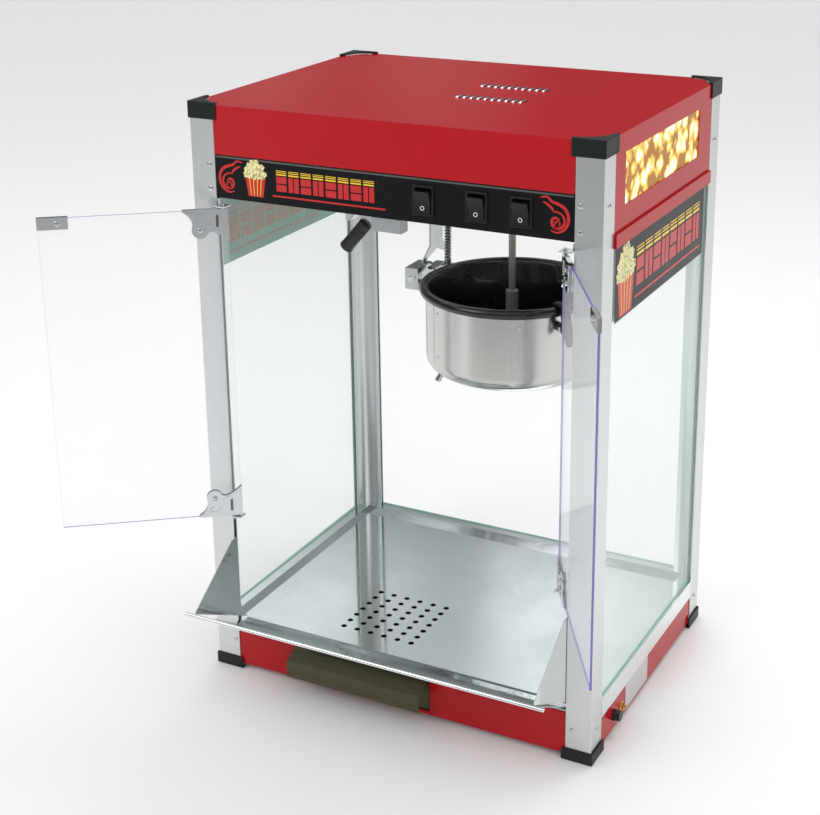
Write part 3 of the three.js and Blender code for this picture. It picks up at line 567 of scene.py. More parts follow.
# One mesh of copies at (point, direction, spin) triples given in row metres.
def scattered(name, points, source, material, body, slot, size=1.0, stands=()):
    mesh = bpy.data.meshes.new(name)
    mesh.from_pydata([tuple(p[0]) for p in points], [], [])
    mesh.attributes.new("direction", "FLOAT_VECTOR", "POINT")
    mesh.attributes.new("spin", "FLOAT", "POINT")
    mesh.attributes["direction"].data.foreach_set("vector", [c for _, along, _ in points for c in along])
    mesh.attributes["spin"].data.foreach_set("value", [angle for _, _, angle in points])
    piece = link(name, mesh)
    modifier = piece.modifiers.new("scatter", "NODES")
    modifier.node_group = scatterTree
    values = {"Source": source, "Size": size, "Material": material}
    for item in scatterTree.interface.items_tree:
        if item.in_out == "INPUT" and item.name in values:
            modifier[item.identifier] = values[item.name]
    applyModifiers(piece)
    smooth(piece.data, 40)
    return settle(piece, body, slot, material, stands=stands)


screwSource = screwHead(screwLook)
up = Vector((0, 0, 1))
front, rear = Vector((0, -1, 0)), Vector((0, 1, 0))
leftward, rightward = Vector((-1, 0, 0)), Vector((1, 0, 0))

# Screws through the posts: the front ones hold the fascia, the others the base and the hood.
postScrews = {
    "front": [(-253.5, 722), (-253.5, 691), (-251.5, 43), (252, 723.5), (252, 692), (254, 43)],
    "rear": [(-252, 722), (-252, 43), (252, 722), (252, 43)],
    "side": [(-192, 722), (-192, 43), (192, 722), (192, 43)],
    "spins": [0.4, 1.1, 0.2, 0.8, 1.4, 0.6], "halfWidth": 280, "halfDepth": 210,
}
screwPoints = []
for face, facing, shift in (("front", front, 0), ("rear", rear, 2), ("side", leftward, 1),
                            ("side", rightward, 3)):
    for i, (along, z) in enumerate(postScrews[face]):
        across = along if face == "side" else facing.y * postScrews["halfDepth"]
        x = facing.x * postScrews["halfWidth"] if face == "side" else along
        screwPoints.append((place(x, across, z), facing, postScrews["spins"][(i + shift) % 6]))
scattered("post_screws", screwPoints, screwSource, chrome, "cabinet", "chrome_plate")
print("screws made:", len(screwPoints))

# Hood, its lit pictures and its louvres.
hoodLook = {"bevel": 1.3, "pictureBevel": 0.3, "louvreRise": 1.5, "louvreHalf": 2.0, "louvreLong": 18,
            "louvreGap": 0.2, "louvreRoot": 0.3, "slotHalf": 1.3, "rows": [(61, -35), (58, 45)],
            "count": 10, "pitch": 9.7, "top": 799.4}
dress("hood_cover", hoodLook["bevel"], "cabinet", "red_enamel", enamelRed, segments=3)
for side in ("left", "right"):
    dress("hood_picture_" + side, hoodLook["pictureBevel"], "cabinet", "picture_film", popcornPicture)


# A pressed louvre: a low half-round lip beside its slot.
def louvre(look):
    long, half, rise = look["louvreLong"] / 2, look["louvreHalf"], look["louvreRise"]
    middle, steps = half + look["louvreGap"], 8
    vertices, faces = [], []
    stations = [(-long, 0.05), (-long + 1.0, 0.75), (-long + 2.4, 1),
                (long - 2.4, 1), (long - 1.0, 0.75), (long, 0.05)]
    for y, lift in stations:
        for i in range(steps + 1):
            angle = math.pi * i / steps
            vertices.append((half * math.cos(angle) - middle, y, rise * lift * math.sin(angle)))
        vertices.append((-middle, y, -look["louvreRoot"]))
    row = steps + 2
    for k in range(len(stations) - 1):
        for i in range(row):
            j = (i + 1) % row
            faces.append((k * row + i, k * row + j, (k + 1) * row + j, (k + 1) * row + i))
    faces.append(tuple(range(row)))
    faces.append(tuple(reversed(range((len(stations) - 1) * row, len(stations) * row))))
    return vertices, faces


louvreSource = sourceOf("louvreSource", louvre(hoodLook))
louvrePoints = []
for centreX, centreY in hoodLook["rows"]:
    for i in range(hoodLook["count"]):
        x = centreX + (i - (hoodLook["count"] - 1) / 2) * hoodLook["pitch"]
        louvrePoints.append((place(x - hoodLook["slotHalf"], centreY, hoodLook["top"]), up, 0.0))
scattered("hood_louvres", louvrePoints, louvreSource, polished, "cabinet", "polished_steel")
print("hood made")

# Ceiling, base, deck and guard.
sheetLook = {"ceiling": 0.3, "base": 0.9, "floor": 0.3, "deck": 0.5, "lip": 0.45, "wing": 0.4,
             "element": 0.6, "drawer": 1.1, "fascia": 0.4}
dress("ceiling_panel", sheetLook["ceiling"], "cabinet", "polished_steel", polished)
dress("base_shell", sheetLook["base"], "cabinet", "red_enamel", enamelRed, segments=3)
dress("base_floor", sheetLook["floor"], "cabinet", "galvanised_steel", galvanised)

# The deck's holes are cut again as round ones, and each gets a slightly rounded edge.
deckLook = {"columns": 6, "rows": 7, "pitchX": 21, "pitchY": 17.8, "centre": (-59, -95), "radius": 4.06,
            "sides": 28, "under": 60, "over": 72}
holeParts = []
for i in range(deckLook["columns"]):
    for j in range(deckLook["rows"]):
        x = deckLook["centre"][0] + (i - (deckLook["columns"] - 1) / 2) * deckLook["pitchX"]
        y = deckLook["centre"][1] + (j - (deckLook["rows"] - 1) / 2) * deckLook["pitchY"]
        line = [(x, y, deckLook["under"]), (x, y, deckLook["over"])]
        holeParts.append(tubeOf(line, deckLook["radius"], deckLook["sides"]))
holeCutter = assembled("holeCutter", holeParts)
dress("deck_tray", sheetLook["deck"], "cabinet", "polished_steel", polished, cutter=holeCutter)
bpy.data.objects.remove(holeCutter)
dress("front_lip", sheetLook["lip"], "cabinet", "polished_steel", polished, segments=3)
for side in ("left", "right"):
    dress("guard_wing_" + side, sheetLook["wing"], "cabinet", "polished_steel", polished)
dress("warming_element", sheetLook["element"], "cabinet", "galvanised_steel", darkMetal)
dress("drawer", sheetLook["drawer"], "drawer", "brushed_steel", brushedLong, segments=3)
print("base and deck made")

# Fascia and printed designs.
dress("fascia_panel", sheetLook["fascia"], "cabinet", "printed_fascia", fasciaBlack)


# A flat ribbon along a line of points in a plane, with a half width at each point.
def ribbon(points, widths, toSpace, lift):
    points = [Vector((p[0], p[1])) for p in points]
    vertices, faces = [], []
    for k, point in enumerate(points):
        ahead = points[min(k + 1, len(points) - 1)] - points[max(k - 1, 0)]
        ahead.normalize()
        side = Vector((-ahead.y, ahead.x)) * widths[k]
        for sign in (-1, 1):
            spot = point + sign * side
            vertices.append(toSpace(spot.x, spot.y, 0))
            vertices.append(toSpace(spot.x, spot.y, lift))
    for k in range(len(points) - 1):
        a, b = 4 * k, 4 * (k + 1)
        for i, j in ((0, 1), (1, 3), (3, 2), (2, 0)):
            faces.append((a + i, a + j, b + j, b + i))
    faces.append((0, 2, 3, 1))
    last = 4 * (len(points) - 1)
    faces.append((last, last + 1, last + 3, last + 2))
    return vertices, faces


# A flat closed patch from its outline, with a little thickness.
def patch(outline, toSpace, lift, base=0.0):
    count = len(outline)
    vertices = [toSpace(x, y, base) for x, y in outline] + [toSpace(x, y, lift) for x, y in outline]
    faces = [tuple(reversed(range(count))), tuple(range(count, 2 * count))]
    faces += [(i, (i + 1) % count, count + (i + 1) % count, count + i) for i in range(count)]
    return vertices, faces


def rectangle(x0, y0, x1, y1):
    return [(x0, y0), (x1, y0), (x1, y1), (x0, y1)]


# A curl that winds in from its foot and gets thinner.
def curl(x, y, radius, start, turns, flip, thick):
    points, widths = [], []
    steps = int(30 * turns)
    for i in range(steps + 1):
        t = i / steps
        angle = start + flip * 2 * math.pi * turns * t
        reach = radius * (1 - 0.82 * t)
        points.append((x + reach * math.cos(angle), y + reach * math.sin(angle)))
        widths.append(thick * (0.25 + 0.75 * math.sin(math.pi * (0.12 + 0.8 * t))))
    return points, widths


# A spray of curls on one stem.
printLift = 0.14
scrollLook = {
    "curls": [(-3, -6, 12, 1.2, 1.35, 1, 1.7), (-5, -9, 5.5, -1.3, 0.9, 1, 1.1)],
    "stem": [(17, 21), (9, 22), (3, 17), (-4, 15), (-12, 11), (-17, 3), (-17, -7), (-12, -15), (-4, -19),
             (4, -17)],
    "branch": [(14, 16), (8, 13), (3, 9), (1, 5)],
}


def scrollwork(mirror, toSpace):
    lines = [curl(*values) for values in scrollLook["curls"]]
    for line, thick in ((scrollLook["stem"], 1.7), (scrollLook["branch"], 1.3)):
        line = rounded(line, 4)
        lines.append((line, [0.3 + thick * math.sin(math.pi * (0.1 + 0.85 * k / len(line)))
                             for k in range(len(line))]))
    return [ribbon([(mirror * x, y) for x, y in line], widths, toSpace, printLift) for line, widths in lines]


# Points along a smooth curve through the given ones.
def rounded(line, steps):
    points = [Vector(p) for p in line]
    padded = [2 * points[0] - points[1]] + points + [2 * points[-1] - points[-2]]
    made = []
    for k in range(1, len(padded) - 2):
        a, b, c, d = padded[k - 1:k + 3]
        for i in range(steps):
            t = i / steps
            made.append(0.5 * (2 * b + (c - a) * t + (2 * a - 5 * b + 4 * c - d) * t * t
                               + (3 * b - a - 3 * c + d) * t ** 3))
    return [tuple(p) for p in made + [points[-1]]]


# A striped carton with popped corn on top, about 30 wide and 46 high round its middle.
cartonLook = {
    "top": 2, "bottom": -23, "wide": 15, "narrow": 11, "stripes": 5, "stripeHalf": (0.45, 0.6), "margin": 1,
    "corn": [(-13, 5, 4.4), (-7.4, 4, 4.4), (-1.6, 3.6, 4.5), (4.4, 4, 4.4), (10.2, 4.4, 4.4), (14, 7, 3.2),
             (-12, 11, 4.3), (-5.6, 10, 4.5), (1, 10, 4.7), (7.6, 10.6, 4.5), (-8.4, 16, 4.2),
             (-2, 16.6, 4.4),
             (4.6, 16.6, 4.3), (10.4, 15.4, 3.6), (-4.4, 21, 3.3), (1.8, 21.6, 3.4)],
    "lobes": 5, "lobeDepth": 0.16, "cornSides": 26,
}


def cartonRed(toSpace):
    narrow, wide, bottom, top = (cartonLook[k] for k in ("narrow", "wide", "bottom", "top"))
    return [patch([(-narrow, bottom), (narrow, bottom), (wide, top), (-wide, top)], toSpace, printLift)]


def cartonStripes(toSpace):
    parts = []
    bottom, top = cartonLook["bottom"] + cartonLook["margin"], cartonLook["top"] - cartonLook["margin"]
    lowHalf, highHalf = cartonLook["stripeHalf"]
    for i in range(1, cartonLook["stripes"]):
        t = i / cartonLook["stripes"] * 2 - 1
        low, high = t * cartonLook["narrow"], t * cartonLook["wide"]
        outline = [(low - lowHalf, bottom), (low + lowHalf, bottom),
                   (high + highHalf, top), (high - highHalf, top)]
        parts.append(patch(outline, toSpace, printLift * 1.5, printLift * 0.8))
    return parts


def cartonCorn(toSpace):
    parts = []
    sides = cartonLook["cornSides"]
    for n, (x, y, radius) in enumerate(cartonLook["corn"]):
        outline = []
        for i in range(sides):
            angle = 2 * math.pi * i / sides
            reach = radius * (1 + cartonLook["lobeDepth"] * math.sin(cartonLook["lobes"] * angle + n))
            outline.append((x + reach * math.cos(angle), y + reach * math.sin(angle)))
        parts.append(patch(outline, toSpace, printLift * (1.2 + 0.09 * n), printLift * 0.2))
    return parts


# A plain band of bars in place of lettering: red blocks below, thin yellow lines above.
# Heights are shares of the band's height, and widths are shares of one step or bar.
barLook = {"count": 8, "wide": 0.84, "pillar": 0.44, "slit": 0.08, "brow": 0.2, "sill": -0.18, "waist": -0.12,
           "lines": ((0.26, 0.07), (0.38, 0.04), (0.46, 0.03))}


def barsBelow(x0, x1, high, toSpace):
    boxes = []
    step = (x1 - x0) / barLook["count"]
    wide, brow, foot = barLook["wide"] * step, barLook["brow"] * high, -high / 2
    for i in range(barLook["count"]):
        left = x0 + i * step
        if i % 2:
            inner = left + barLook["pillar"] * wide
            boxes += [(left, foot, inner, brow), (inner + barLook["slit"] * step, foot, left + wide, brow)]
        else:
            boxes += [(left, foot, left + wide, barLook["sill"] * high),
                      (left, barLook["waist"] * high, left + wide, brow)]
    return [patch(rectangle(*box), toSpace, printLift) for box in boxes]


def barsAbove(x0, x1, high, toSpace):
    step = (x1 - x0) / barLook["count"]
    lefts = [x0 + i * step for i in range(barLook["count"])]
    return [patch(rectangle(left, low * high, left + barLook["wide"] * step, (low + thick) * high), toSpace,
                  printLift) for left in lefts for low, thick in barLook["lines"]]


def printed(name, parts, material):
    settle(assembled(name, parts), "cabinet", "printed_fascia", material)


fasciaLook = {"face": -209.86, "middle": 708, "scrolls": ((1, -221), (-1, 220)), "carton": (-185, 710),
              "bars": (-154, -12, 27), "barsAt": 711, "line": (-160, 689.9, 0, 692.1),
              "topStrip": (-244, 732.5, 244, 734.7)}


def onFascia(x0, z0):
    return lambda x, y, d: (x0 + x, fasciaLook["face"] - d, z0 + y)


fasciaCarton, fasciaBars = onFascia(*fasciaLook["carton"]), onFascia(0, fasciaLook["barsAt"])
redParts = []
for mirror, x in fasciaLook["scrolls"]:
    redParts += scrollwork(mirror, onFascia(x, fasciaLook["middle"]))
redParts += cartonRed(fasciaCarton) + barsBelow(*fasciaLook["bars"], fasciaBars)
redParts.append(patch(rectangle(*fasciaLook["line"]), onFascia(0, 0), printLift))
printed("fascia_print_red", redParts, printRed)
printed("fascia_strip", [patch(rectangle(*fasciaLook["topStrip"]), onFascia(0, 0), printLift)], darkMetal)
yellowParts = barsAbove(*fasciaLook["bars"], fasciaBars) + cartonStripes(fasciaCarton)
printed("fascia_print_yellow", yellowParts, printYellow)
printed("fascia_print_cream", cartonCorn(fasciaCarton), printCream)

# Side bands: a dark ground outside, a pale backing inside, and the same designs along Y.
bandLook = {"outer": 278.1, "inner": 274.1, "area": (-163, 572, 163, 667), "ground": (0.04, 0.15),
            "ink": 0.25,
            "ghostInk": 0.2, "carton": -128, "cartonZ": 617.5, "cartonScale": 1.85, "bars": (-92, 150, 50),
            "barsZ": 623.5, "line": (-97, -39, 150, -36)}


def onBand(side, start, y0, z0, flip, scale=1):
    return lambda x, y, d: (side * (start + d), y0 + flip * scale * x, z0 + scale * y)


def bandDesign(toSpace):
    return (barsBelow(*bandLook["bars"], toSpace), barsAbove(*bandLook["bars"], toSpace),
            patch(rectangle(*bandLook["line"]), toSpace, printLift))


for side, name in ((-1, "left"), (1, "right")):
    area = rectangle(*bandLook["area"])
    gap, thick = bandLook["ground"]
    outside = onBand(side, bandLook["outer"] + gap, 0, 0, 1)
    printed("band_ground_" + name, [patch(area, outside, thick)], fasciaBlack)
    inside = lambda x, y, d, side=side: (side * (bandLook["inner"] - gap - d), x, y)
    printed("band_backing_" + name, [patch(area, inside, thick)], printPale)
    ghostSpace = lambda x, y, d, side=side: (side * (bandLook["inner"] - bandLook["ghostInk"] - d), side * x,
                                             bandLook["barsZ"] + y)
    below, above, line = bandDesign(ghostSpace)
    printed("band_ghost_" + name, below + above + [line], printGhost)
    ink = bandLook["outer"] + bandLook["ink"]
    cartonSpace = onBand(side, ink, side * bandLook["carton"], bandLook["cartonZ"], side,
                         bandLook["cartonScale"])
    below, above, line = bandDesign(onBand(side, ink, 0, bandLook["barsZ"], side))
    printed("band_red_" + name, cartonRed(cartonSpace) + below + [line], printRed)
    printed("band_yellow_" + name, above + cartonStripes(cartonSpace), printYellow)
    printed("band_cream_" + name, cartonCorn(cartonSpace), printCream)
print("printed designs made")

# Switches, each with a ring mark on its rocker.
switchLook = {"xs": (52, 122, 179), "pivot": (-208.1, 708), "tilt": 10, "bezel": 0.8, "rocker": 0.6,
              "markAt": (0, -6.52, -7.5), "markTurn": 80, "markRadii": (2.0, 2.7), "markHigh": 0.28}
for side, x in zip(("left", "middle", "right"), switchLook["xs"]):
    dress("switch_housing_" + side, switchLook["bezel"], "cabinet", "black_switch", switchBlack, segments=3)
    dress("switch_rocker_" + side, switchLook["rocker"], "rocker_" + side, "black_switch", switchBlack,
          segments=3)
    tilted = cabinetMatrix @ seatAt((x, *switchLook["pivot"]), switchLook["tilt"], "X")
    slope = seatAt(switchLook["markAt"], switchLook["markTurn"], "X")
    inner, outer = switchLook["markRadii"]
    high = switchLook["markHigh"]
    ring = turned([(inner, 0), (inner, high), (outer, high), (outer, 0), (inner, 0)], 32, slope)
    settle(assembled("rocker_mark_" + side, [ring], tilted), "rocker_" + side, "black_switch", printWhite)
print("switches made")

# Fixed glass.
glassLook = {"bevel": 0.4, "edgeLimit": 0.5}


# Gives the narrow faces of a pane a second, deeper material.
def paneMaterials(piece, normal):
    for face in piece.data.polygons:
        face.material_index = 1 if abs(face.normal.dot(normal)) < glassLook["edgeLimit"] else 0


for name, normal in (("side_glass_left", rightward), ("side_glass_right", rightward), ("back_glass", rear)):
    pane = dress(name, glassLook["bevel"], "cabinet", "clear_glass", clearGlass, glassEdge)
    paneMaterials(pane, normal)
print("glass made")

# Doors, hinge clamps and catches.
doorLook = {"axis": (235, -212), "turns": {"left": -143, "right": 180 + 121}, "low": 240, "high": 666,
            "half": 2.8, "bevel": 0.5, "clampBevel": 0.35, "bracketBevel": 0.3, "catchBevel": 0.3,
            "catchAt": (208, 659), "screwSize": 1.05, "magnetBevel": 0.6}
clampRidges = {
    "slot": {"x": 8, "low": -21, "high": -8, "half": 2.2},
    "rise": 0.8, "half": 1.3, "slotEdge": 0.5, "slotInset": 0.3, "slotRise": 0.3, "bevel": 0.2,
    "lines": [
        [(-3, -34), (3, -30), (9, -26.5), (15, -25.5), (19, -22)],
        [(22, -15), (24, -9), (29, -5.5), (35, -6), (41, -3.5), (45, -1)],
        [(33, -14), (36, -9.5), (40, -6), (46, -2.5)],
    ],
    "screw": (30, -26),
}


def doorMatrix(side):
    sign = -1 if side == "left" else 1
    x, y = doorLook["axis"]
    return cabinetMatrix @ seatAt((sign * x, y, 0), doorLook["turns"][side], "Z")


def onClamp(sign):
    return lambda x, z, d: (x, sign * (doorLook["half"] + d), z)


# Pressed ridges and the slot's raised edge, on both faces of a clamp.
def clampDetail():
    parts = []
    rise, half = clampRidges["rise"], clampRidges["half"]
    loop = slotLoop(clampRidges["slot"]["half"])
    for sign in (-1, 1):
        for line in clampRidges["lines"]:
            line = rounded(line, 4)
            count = len(line)
            widths = [half * (0.4 + 0.6 * math.sin(math.pi * (k + 0.5) / count)) for k in range(count)]
            parts.append(ribbon(line, widths, onClamp(sign), rise))
        edges = [clampRidges["slotEdge"]] * (len(loop) + 1)
        parts.append(ribbon(loop + loop[:1], edges, onClamp(sign), rise))
    return parts


# The long slot's outline, at a given half width.
def slotLoop(half):
    slot = clampRidges["slot"]
    loop = []
    for k in range(24):
        angle = 2 * math.pi * k / 24
        middle = slot["high"] if math.sin(angle) >= 0 else slot["low"]
        loop.append((slot["x"] + half * math.cos(angle), middle + half * math.sin(angle)))
    return loop


def turnedVector(matrix, vector):
    return (matrix.to_3x3() @ Vector(vector)).normalized()


for side in ("left", "right"):
    body = side + "_door"
    matrix = doorMatrix(side)
    pane = dress("door_pane_" + side, doorLook["bevel"], body, "door_plastic", doorClear, doorEdge,
                 segments=3)
    paneMaterials(pane, turnedVector(matrix, (0, 1, 0)))
    screws = []
    for end, high, flip in (("top", doorLook["high"], 0), ("bottom", doorLook["low"], 180)):
        name = "hinge_clamp_" + side + "_" + end
        dress(name, doorLook["clampBevel"], body, "chrome_plate", chrome)
        seat = matrix @ seatAt((0, 0, high), flip, "X")
        ridges = assembled("clamp_ridges_" + side + "_" + end, clampDetail(), seat, clampRidges["bevel"])
        settle(ridges, body, "chrome_plate", chrome)
        # Dark patches over the slot on both faces: painted shade standing in for the open slot.
        loop = slotLoop(clampRidges["slot"]["half"] - clampRidges["slotInset"])
        slots = [patch(loop, onClamp(sign), clampRidges["slotRise"]) for sign in (-1, 1)]
        settle(assembled("clamp_slots_" + side + "_" + end, slots, seat), body, "chrome_plate", darkMetal)
        x, z = clampRidges["screw"]
        for sign in (-1, 1):
            spot = seat @ Vector((x, sign * doorLook["half"], z))
            screws.append((spot, turnedVector(seat, (0, sign, 0)), 0.5 + sign))
        dress("hinge_bracket_" + side + "_" + end, doorLook["bracketBevel"], "cabinet", "chrome_plate",
              chrome)
    x, z = doorLook["catchAt"]
    for sign in (-1, 1):
        spot = matrix @ Vector((x, sign * doorLook["half"], z))
        screws.append((spot, turnedVector(matrix, (0, sign, 0)), 0.3))
    dress("catch_plate_" + side, doorLook["catchBevel"], body, "chrome_plate", chrome)
    scattered("door_screws_" + side, screws, screwSource, chrome, body, "chrome_plate", doorLook["screwSize"])
dress("magnet_catch", doorLook["magnetBevel"], "cabinet", "brushed_steel", galvanised)
print("doors made")

# Kettle.
kettleLook = {"x": 67, "y": 14, "rim": 538, "rimRadius": 6.5, "pan": 110.5, "panWall": 2, "panFloor": 438,
              "panCorner": 16, "shell": 115.5, "shellLow": 427, "shellCorner": 22, "sheet": 1.2,
              "sides": 144, "tilt": 526, "trunnion": 4, "reach": 153.1, "handle": -35,
              "cup": [(0.01, 1.6), (4.8, 1.6), (5.2, 1.2), (5.2, 0)], "stubAngle": 214, "stubRadius": 4,
              "stubLow": (90, 0.8), "stubTip": (101, -17), "heaterBevel": 0.4, "handleBevel": 2.2,
              "handleScrew": (126, 517, 5), "handleScrewSize": 1.1}
kettleAxis = Matrix.Translation((kettleLook["x"], kettleLook["y"], 0))


# Points of a profile's arc, and a point round the kettle's axis; angles are in degrees.
def arc(x, z, radius, start, end, steps):
    angles = [math.radians(start + (end - start) * i / steps) for i in range(steps + 1)]
    return [(x + radius * math.cos(angle), z + radius * math.sin(angle)) for angle in angles]


def around(angle, reach, z):
    return (kettleLook["x"] + reach * math.cos(math.radians(angle)),
            kettleLook["y"] + reach * math.sin(math.radians(angle)), z)


def makeShell(look):
    cornerX, cornerZ = look["shell"] - look["shellCorner"], look["shellLow"] + look["shellCorner"]
    top = look["rim"] - look["rimRadius"] - 0.3
    inner = look["shellCorner"] - look["sheet"]
    profile = [(0.01, look["shellLow"])] + arc(cornerX, cornerZ, look["shellCorner"], -90, 0, 14)
    profile += [(look["shell"], top - 0.4), (look["shell"] - 0.4, top), (look["shell"] - look["sheet"], top)]
    profile += arc(cornerX, cornerZ, inner, 0, -90, 10) + [(0.01, look["shellLow"] + look["sheet"])]
    parts = [turned(profile, look["sides"], kettleAxis)]
    for side in (-1, 1):
        start, end = (look["x"] + side * reach for reach in (look["shell"] - 1, look["reach"]))
        line = [(x, look["y"], look["tilt"]) for x in (start, end - side * 0.8, end)]
        parts.append(tubeOf(line, [look["trunnion"], look["trunnion"], look["trunnion"] - 0.7], 32))
        parts.append(turned(look["cup"], 32, seatAt(line[0], 90 * side, "Y")))
    stub = [around(look["stubAngle"], reach, look["shellLow"] + rise)
            for reach, rise in (look["stubLow"], look["stubTip"])]
    parts.append(tubeOf(stub, look["stubRadius"], 24))
    return parts


def makePan(look):
    corner, floor, wall = look["panCorner"], look["panFloor"], look["panWall"]
    inner, outer = look["pan"] - corner, look["pan"] + wall
    bead = outer + look["rimRadius"] - 1.4
    profile = [(0.01, floor)] + arc(inner, floor + corner + wall, corner + wall, -90, 0, 12)
    profile += [(outer, look["rim"] - 3)] + arc(bead, look["rim"], look["rimRadius"], 208, 520, 30)
    profile += [(look["pan"], look["rim"] + 1)] + arc(inner, floor + corner + wall, corner, 0, -90, 12)
    profile += [(0.01, floor + wall)]
    return [turned(profile, look["sides"], kettleAxis)]


settle(assembled("kettle_shell_look", makeShell(kettleLook), angle=40), "kettle", "brushed_steel",
       brushedRound, stands=["kettle_shell"])
settle(assembled("kettle_pan_look", makePan(kettleLook), angle=40), "kettle", "black_coating", coatingBlack,
       stands=["kettle_pan"])
dress("kettle_heater", kettleLook["heaterBevel"], "kettle", "brushed_steel", darkMetal)
dress("kettle_handle", kettleLook["handleBevel"], "kettle", "black_grip", gripBlack, segments=4)

# Seam strips and rivets round the shell.
seamLook = {"angles": (-128, -66, 70, 152), "low": 451, "high": 529, "wide": 0.9, "sunk": 0.2, "proud": 0.4,
            "bevel": 0.15, "rivets": (460, 520), "rivetTurn": 5,
            "rivet": [(0.01, 1.1), (1.0, 1.0), (1.8, 0.6), (2.2, 0), (2.2, -0.4)]}
spread = math.degrees(seamLook["wide"] / kettleLook["shell"])
inner, outer = kettleLook["shell"] - seamLook["sunk"], kettleLook["shell"] + seamLook["proud"]
seamParts = []
for angle in seamLook["angles"]:
    corners = ((angle - spread, inner), (angle + spread, inner),
               (angle + spread, outer), (angle - spread, outer))
    outline = [around(turn, reach, 0)[:2] for turn, reach in corners]
    seamParts.append(patch(outline, lambda x, y, d: (x, y, d), seamLook["high"], seamLook["low"]))
settle(assembled("shell_seams", seamParts, bevel=seamLook["bevel"]), "kettle", "brushed_steel", brushedRound)
rivetSource = sourceOf("rivetSource", turned(seamLook["rivet"], 20))
rivetPoints = []
for angle in seamLook["angles"]:
    turn = math.radians(angle + seamLook["rivetTurn"])
    outward = Vector((math.cos(turn), math.sin(turn), 0))
    for z in seamLook["rivets"]:
        rivetPoints.append((place(*around(math.degrees(turn), kettleLook["shell"], z)), outward, 0.0))
scattered("shell_rivets", rivetPoints, rivetSource, chrome, "kettle", "brushed_steel")
reach, height, half = kettleLook["handleScrew"]
turn = math.radians(kettleLook["handle"])
tangent = Vector((-math.sin(turn), math.cos(turn), 0))
handleSpots = [(place(*(Vector(around(kettleLook["handle"], reach, height)) + sign * half * tangent)),
                sign * tangent, 0.7) for sign in (-1, 1)]
scattered("handle_screws", handleSpots, screwSource, chrome, "kettle", "chrome_plate",
          kettleLook["handleScrewSize"])
driveLook = {"stirrer": 0.5, "shaft": 0.6, "motor": 1.0}
dress("stirrer", driveLook["stirrer"], "stirrer", "brushed_steel", polished)
dress("drive_shaft", driveLook["shaft"], "drive", "brushed_steel", spindleSteel)
dress("gear_motor", driveLook["motor"], "cabinet", "galvanised_steel", galvanised)
print("kettle made")

# Hangers, bolts and the armoured lead.
hangerLook = {"bevel": 1.1, "blockOuter": 153.1, "blockMiddle": 143.1, "front": -2, "hex": 4.6,
              "hexHigh": 3.2,
              "washer": 6.2, "washerThick": 0.9, "boltHigh": 535, "sideBolt": (29, 536)}


def hexBolt(look):
    across, thick = look["washer"], look["washerThick"]
    washer = turned([(0.01, thick), (across - 0.3, thick), (across, thick - 0.3), (across, -0.3)], 36)
    top = thick + look["hexHigh"]
    head = [(look["hex"], thick), (look["hex"], top - 0.6), (look["hex"] * 0.86, top), (0.01, top)]
    return gather([washer, turned(head, 6)])


boltSource = sourceOf("boltSource", hexBolt(hangerLook))
boltPoints = []
for side, sign in (("left", -1), ("right", 1)):
    name = "kettle_hanger_" + side
    dress(name, hangerLook["bevel"], "cabinet", "chrome_plate", hangerSteel, segments=3)
    middle = kettleLook["x"] + sign * hangerLook["blockMiddle"]
    outer = kettleLook["x"] + sign * hangerLook["blockOuter"]
    outward = rightward * sign
    boltPoints.append((place(middle, hangerLook["front"], hangerLook["boltHigh"]), front, 0.3))
    boltPoints.append((place(outer, *hangerLook["sideBolt"]), outward, 0.5))
scattered("hanger_bolts", boltPoints, boltSource, chrome, "cabinet", "chrome_plate")

leadLook = {"top": (-55.1, 71, 679.6), "foot": (-55.1, 67, 541.2), "ring": 3.9, "wire": 1.25, "pitch": 4.2,
            "tilt": (0.12, 0.08, 0), "core": 2.7, "ferrule": (5.2, 4.4), "ferruleLong": (7, 8)}
ringSource = sourceOf("ringSource", turned(arc(leadLook["ring"], 0, leadLook["wire"], 0, 360, 8), 28))
leadTop, leadFoot = Vector(leadLook["top"]), Vector(leadLook["foot"])
ringCount = int((leadTop - leadFoot).length / leadLook["pitch"])
leadAlong = (leadTop - leadFoot).normalized()
ringTilt = (leadAlong + Vector(leadLook["tilt"])).normalized()
leadPoints = [(place(*(leadFoot + (leadTop - leadFoot) * (i + 0.7) / (ringCount + 0.4))), ringTilt, 0.0)
              for i in range(ringCount)]
scattered("lead_rings", leadPoints, ringSource, galvanised, "cabinet", "chrome_plate", stands=["kettle_lead"])
settle(assembled("lead_core", [tubeOf([leadFoot, leadTop], leadLook["core"], 20)]), "cabinet", "chrome_plate",
       darkMetal)
(wide, narrow), (straight, long) = leadLook["ferrule"], leadLook["ferruleLong"]
ferrules = [tubeOf([end, end + straight * along, end + long * along], [wide, wide, narrow], 24)
            for end, along in ((leadFoot, leadAlong), (leadTop, -leadAlong))]
settle(assembled("lead_ferrules", ferrules), "cabinet", "chrome_plate", chrome)
print("hangers made")

# Lamp.
lampLook = {"top": (-40, -186, 664), "tip": (-70, -186, 629), "radius": 8.5, "ribs": (10, 14, 18),
            "bracketBevel": 0.8, "glandBevel": 0.7}


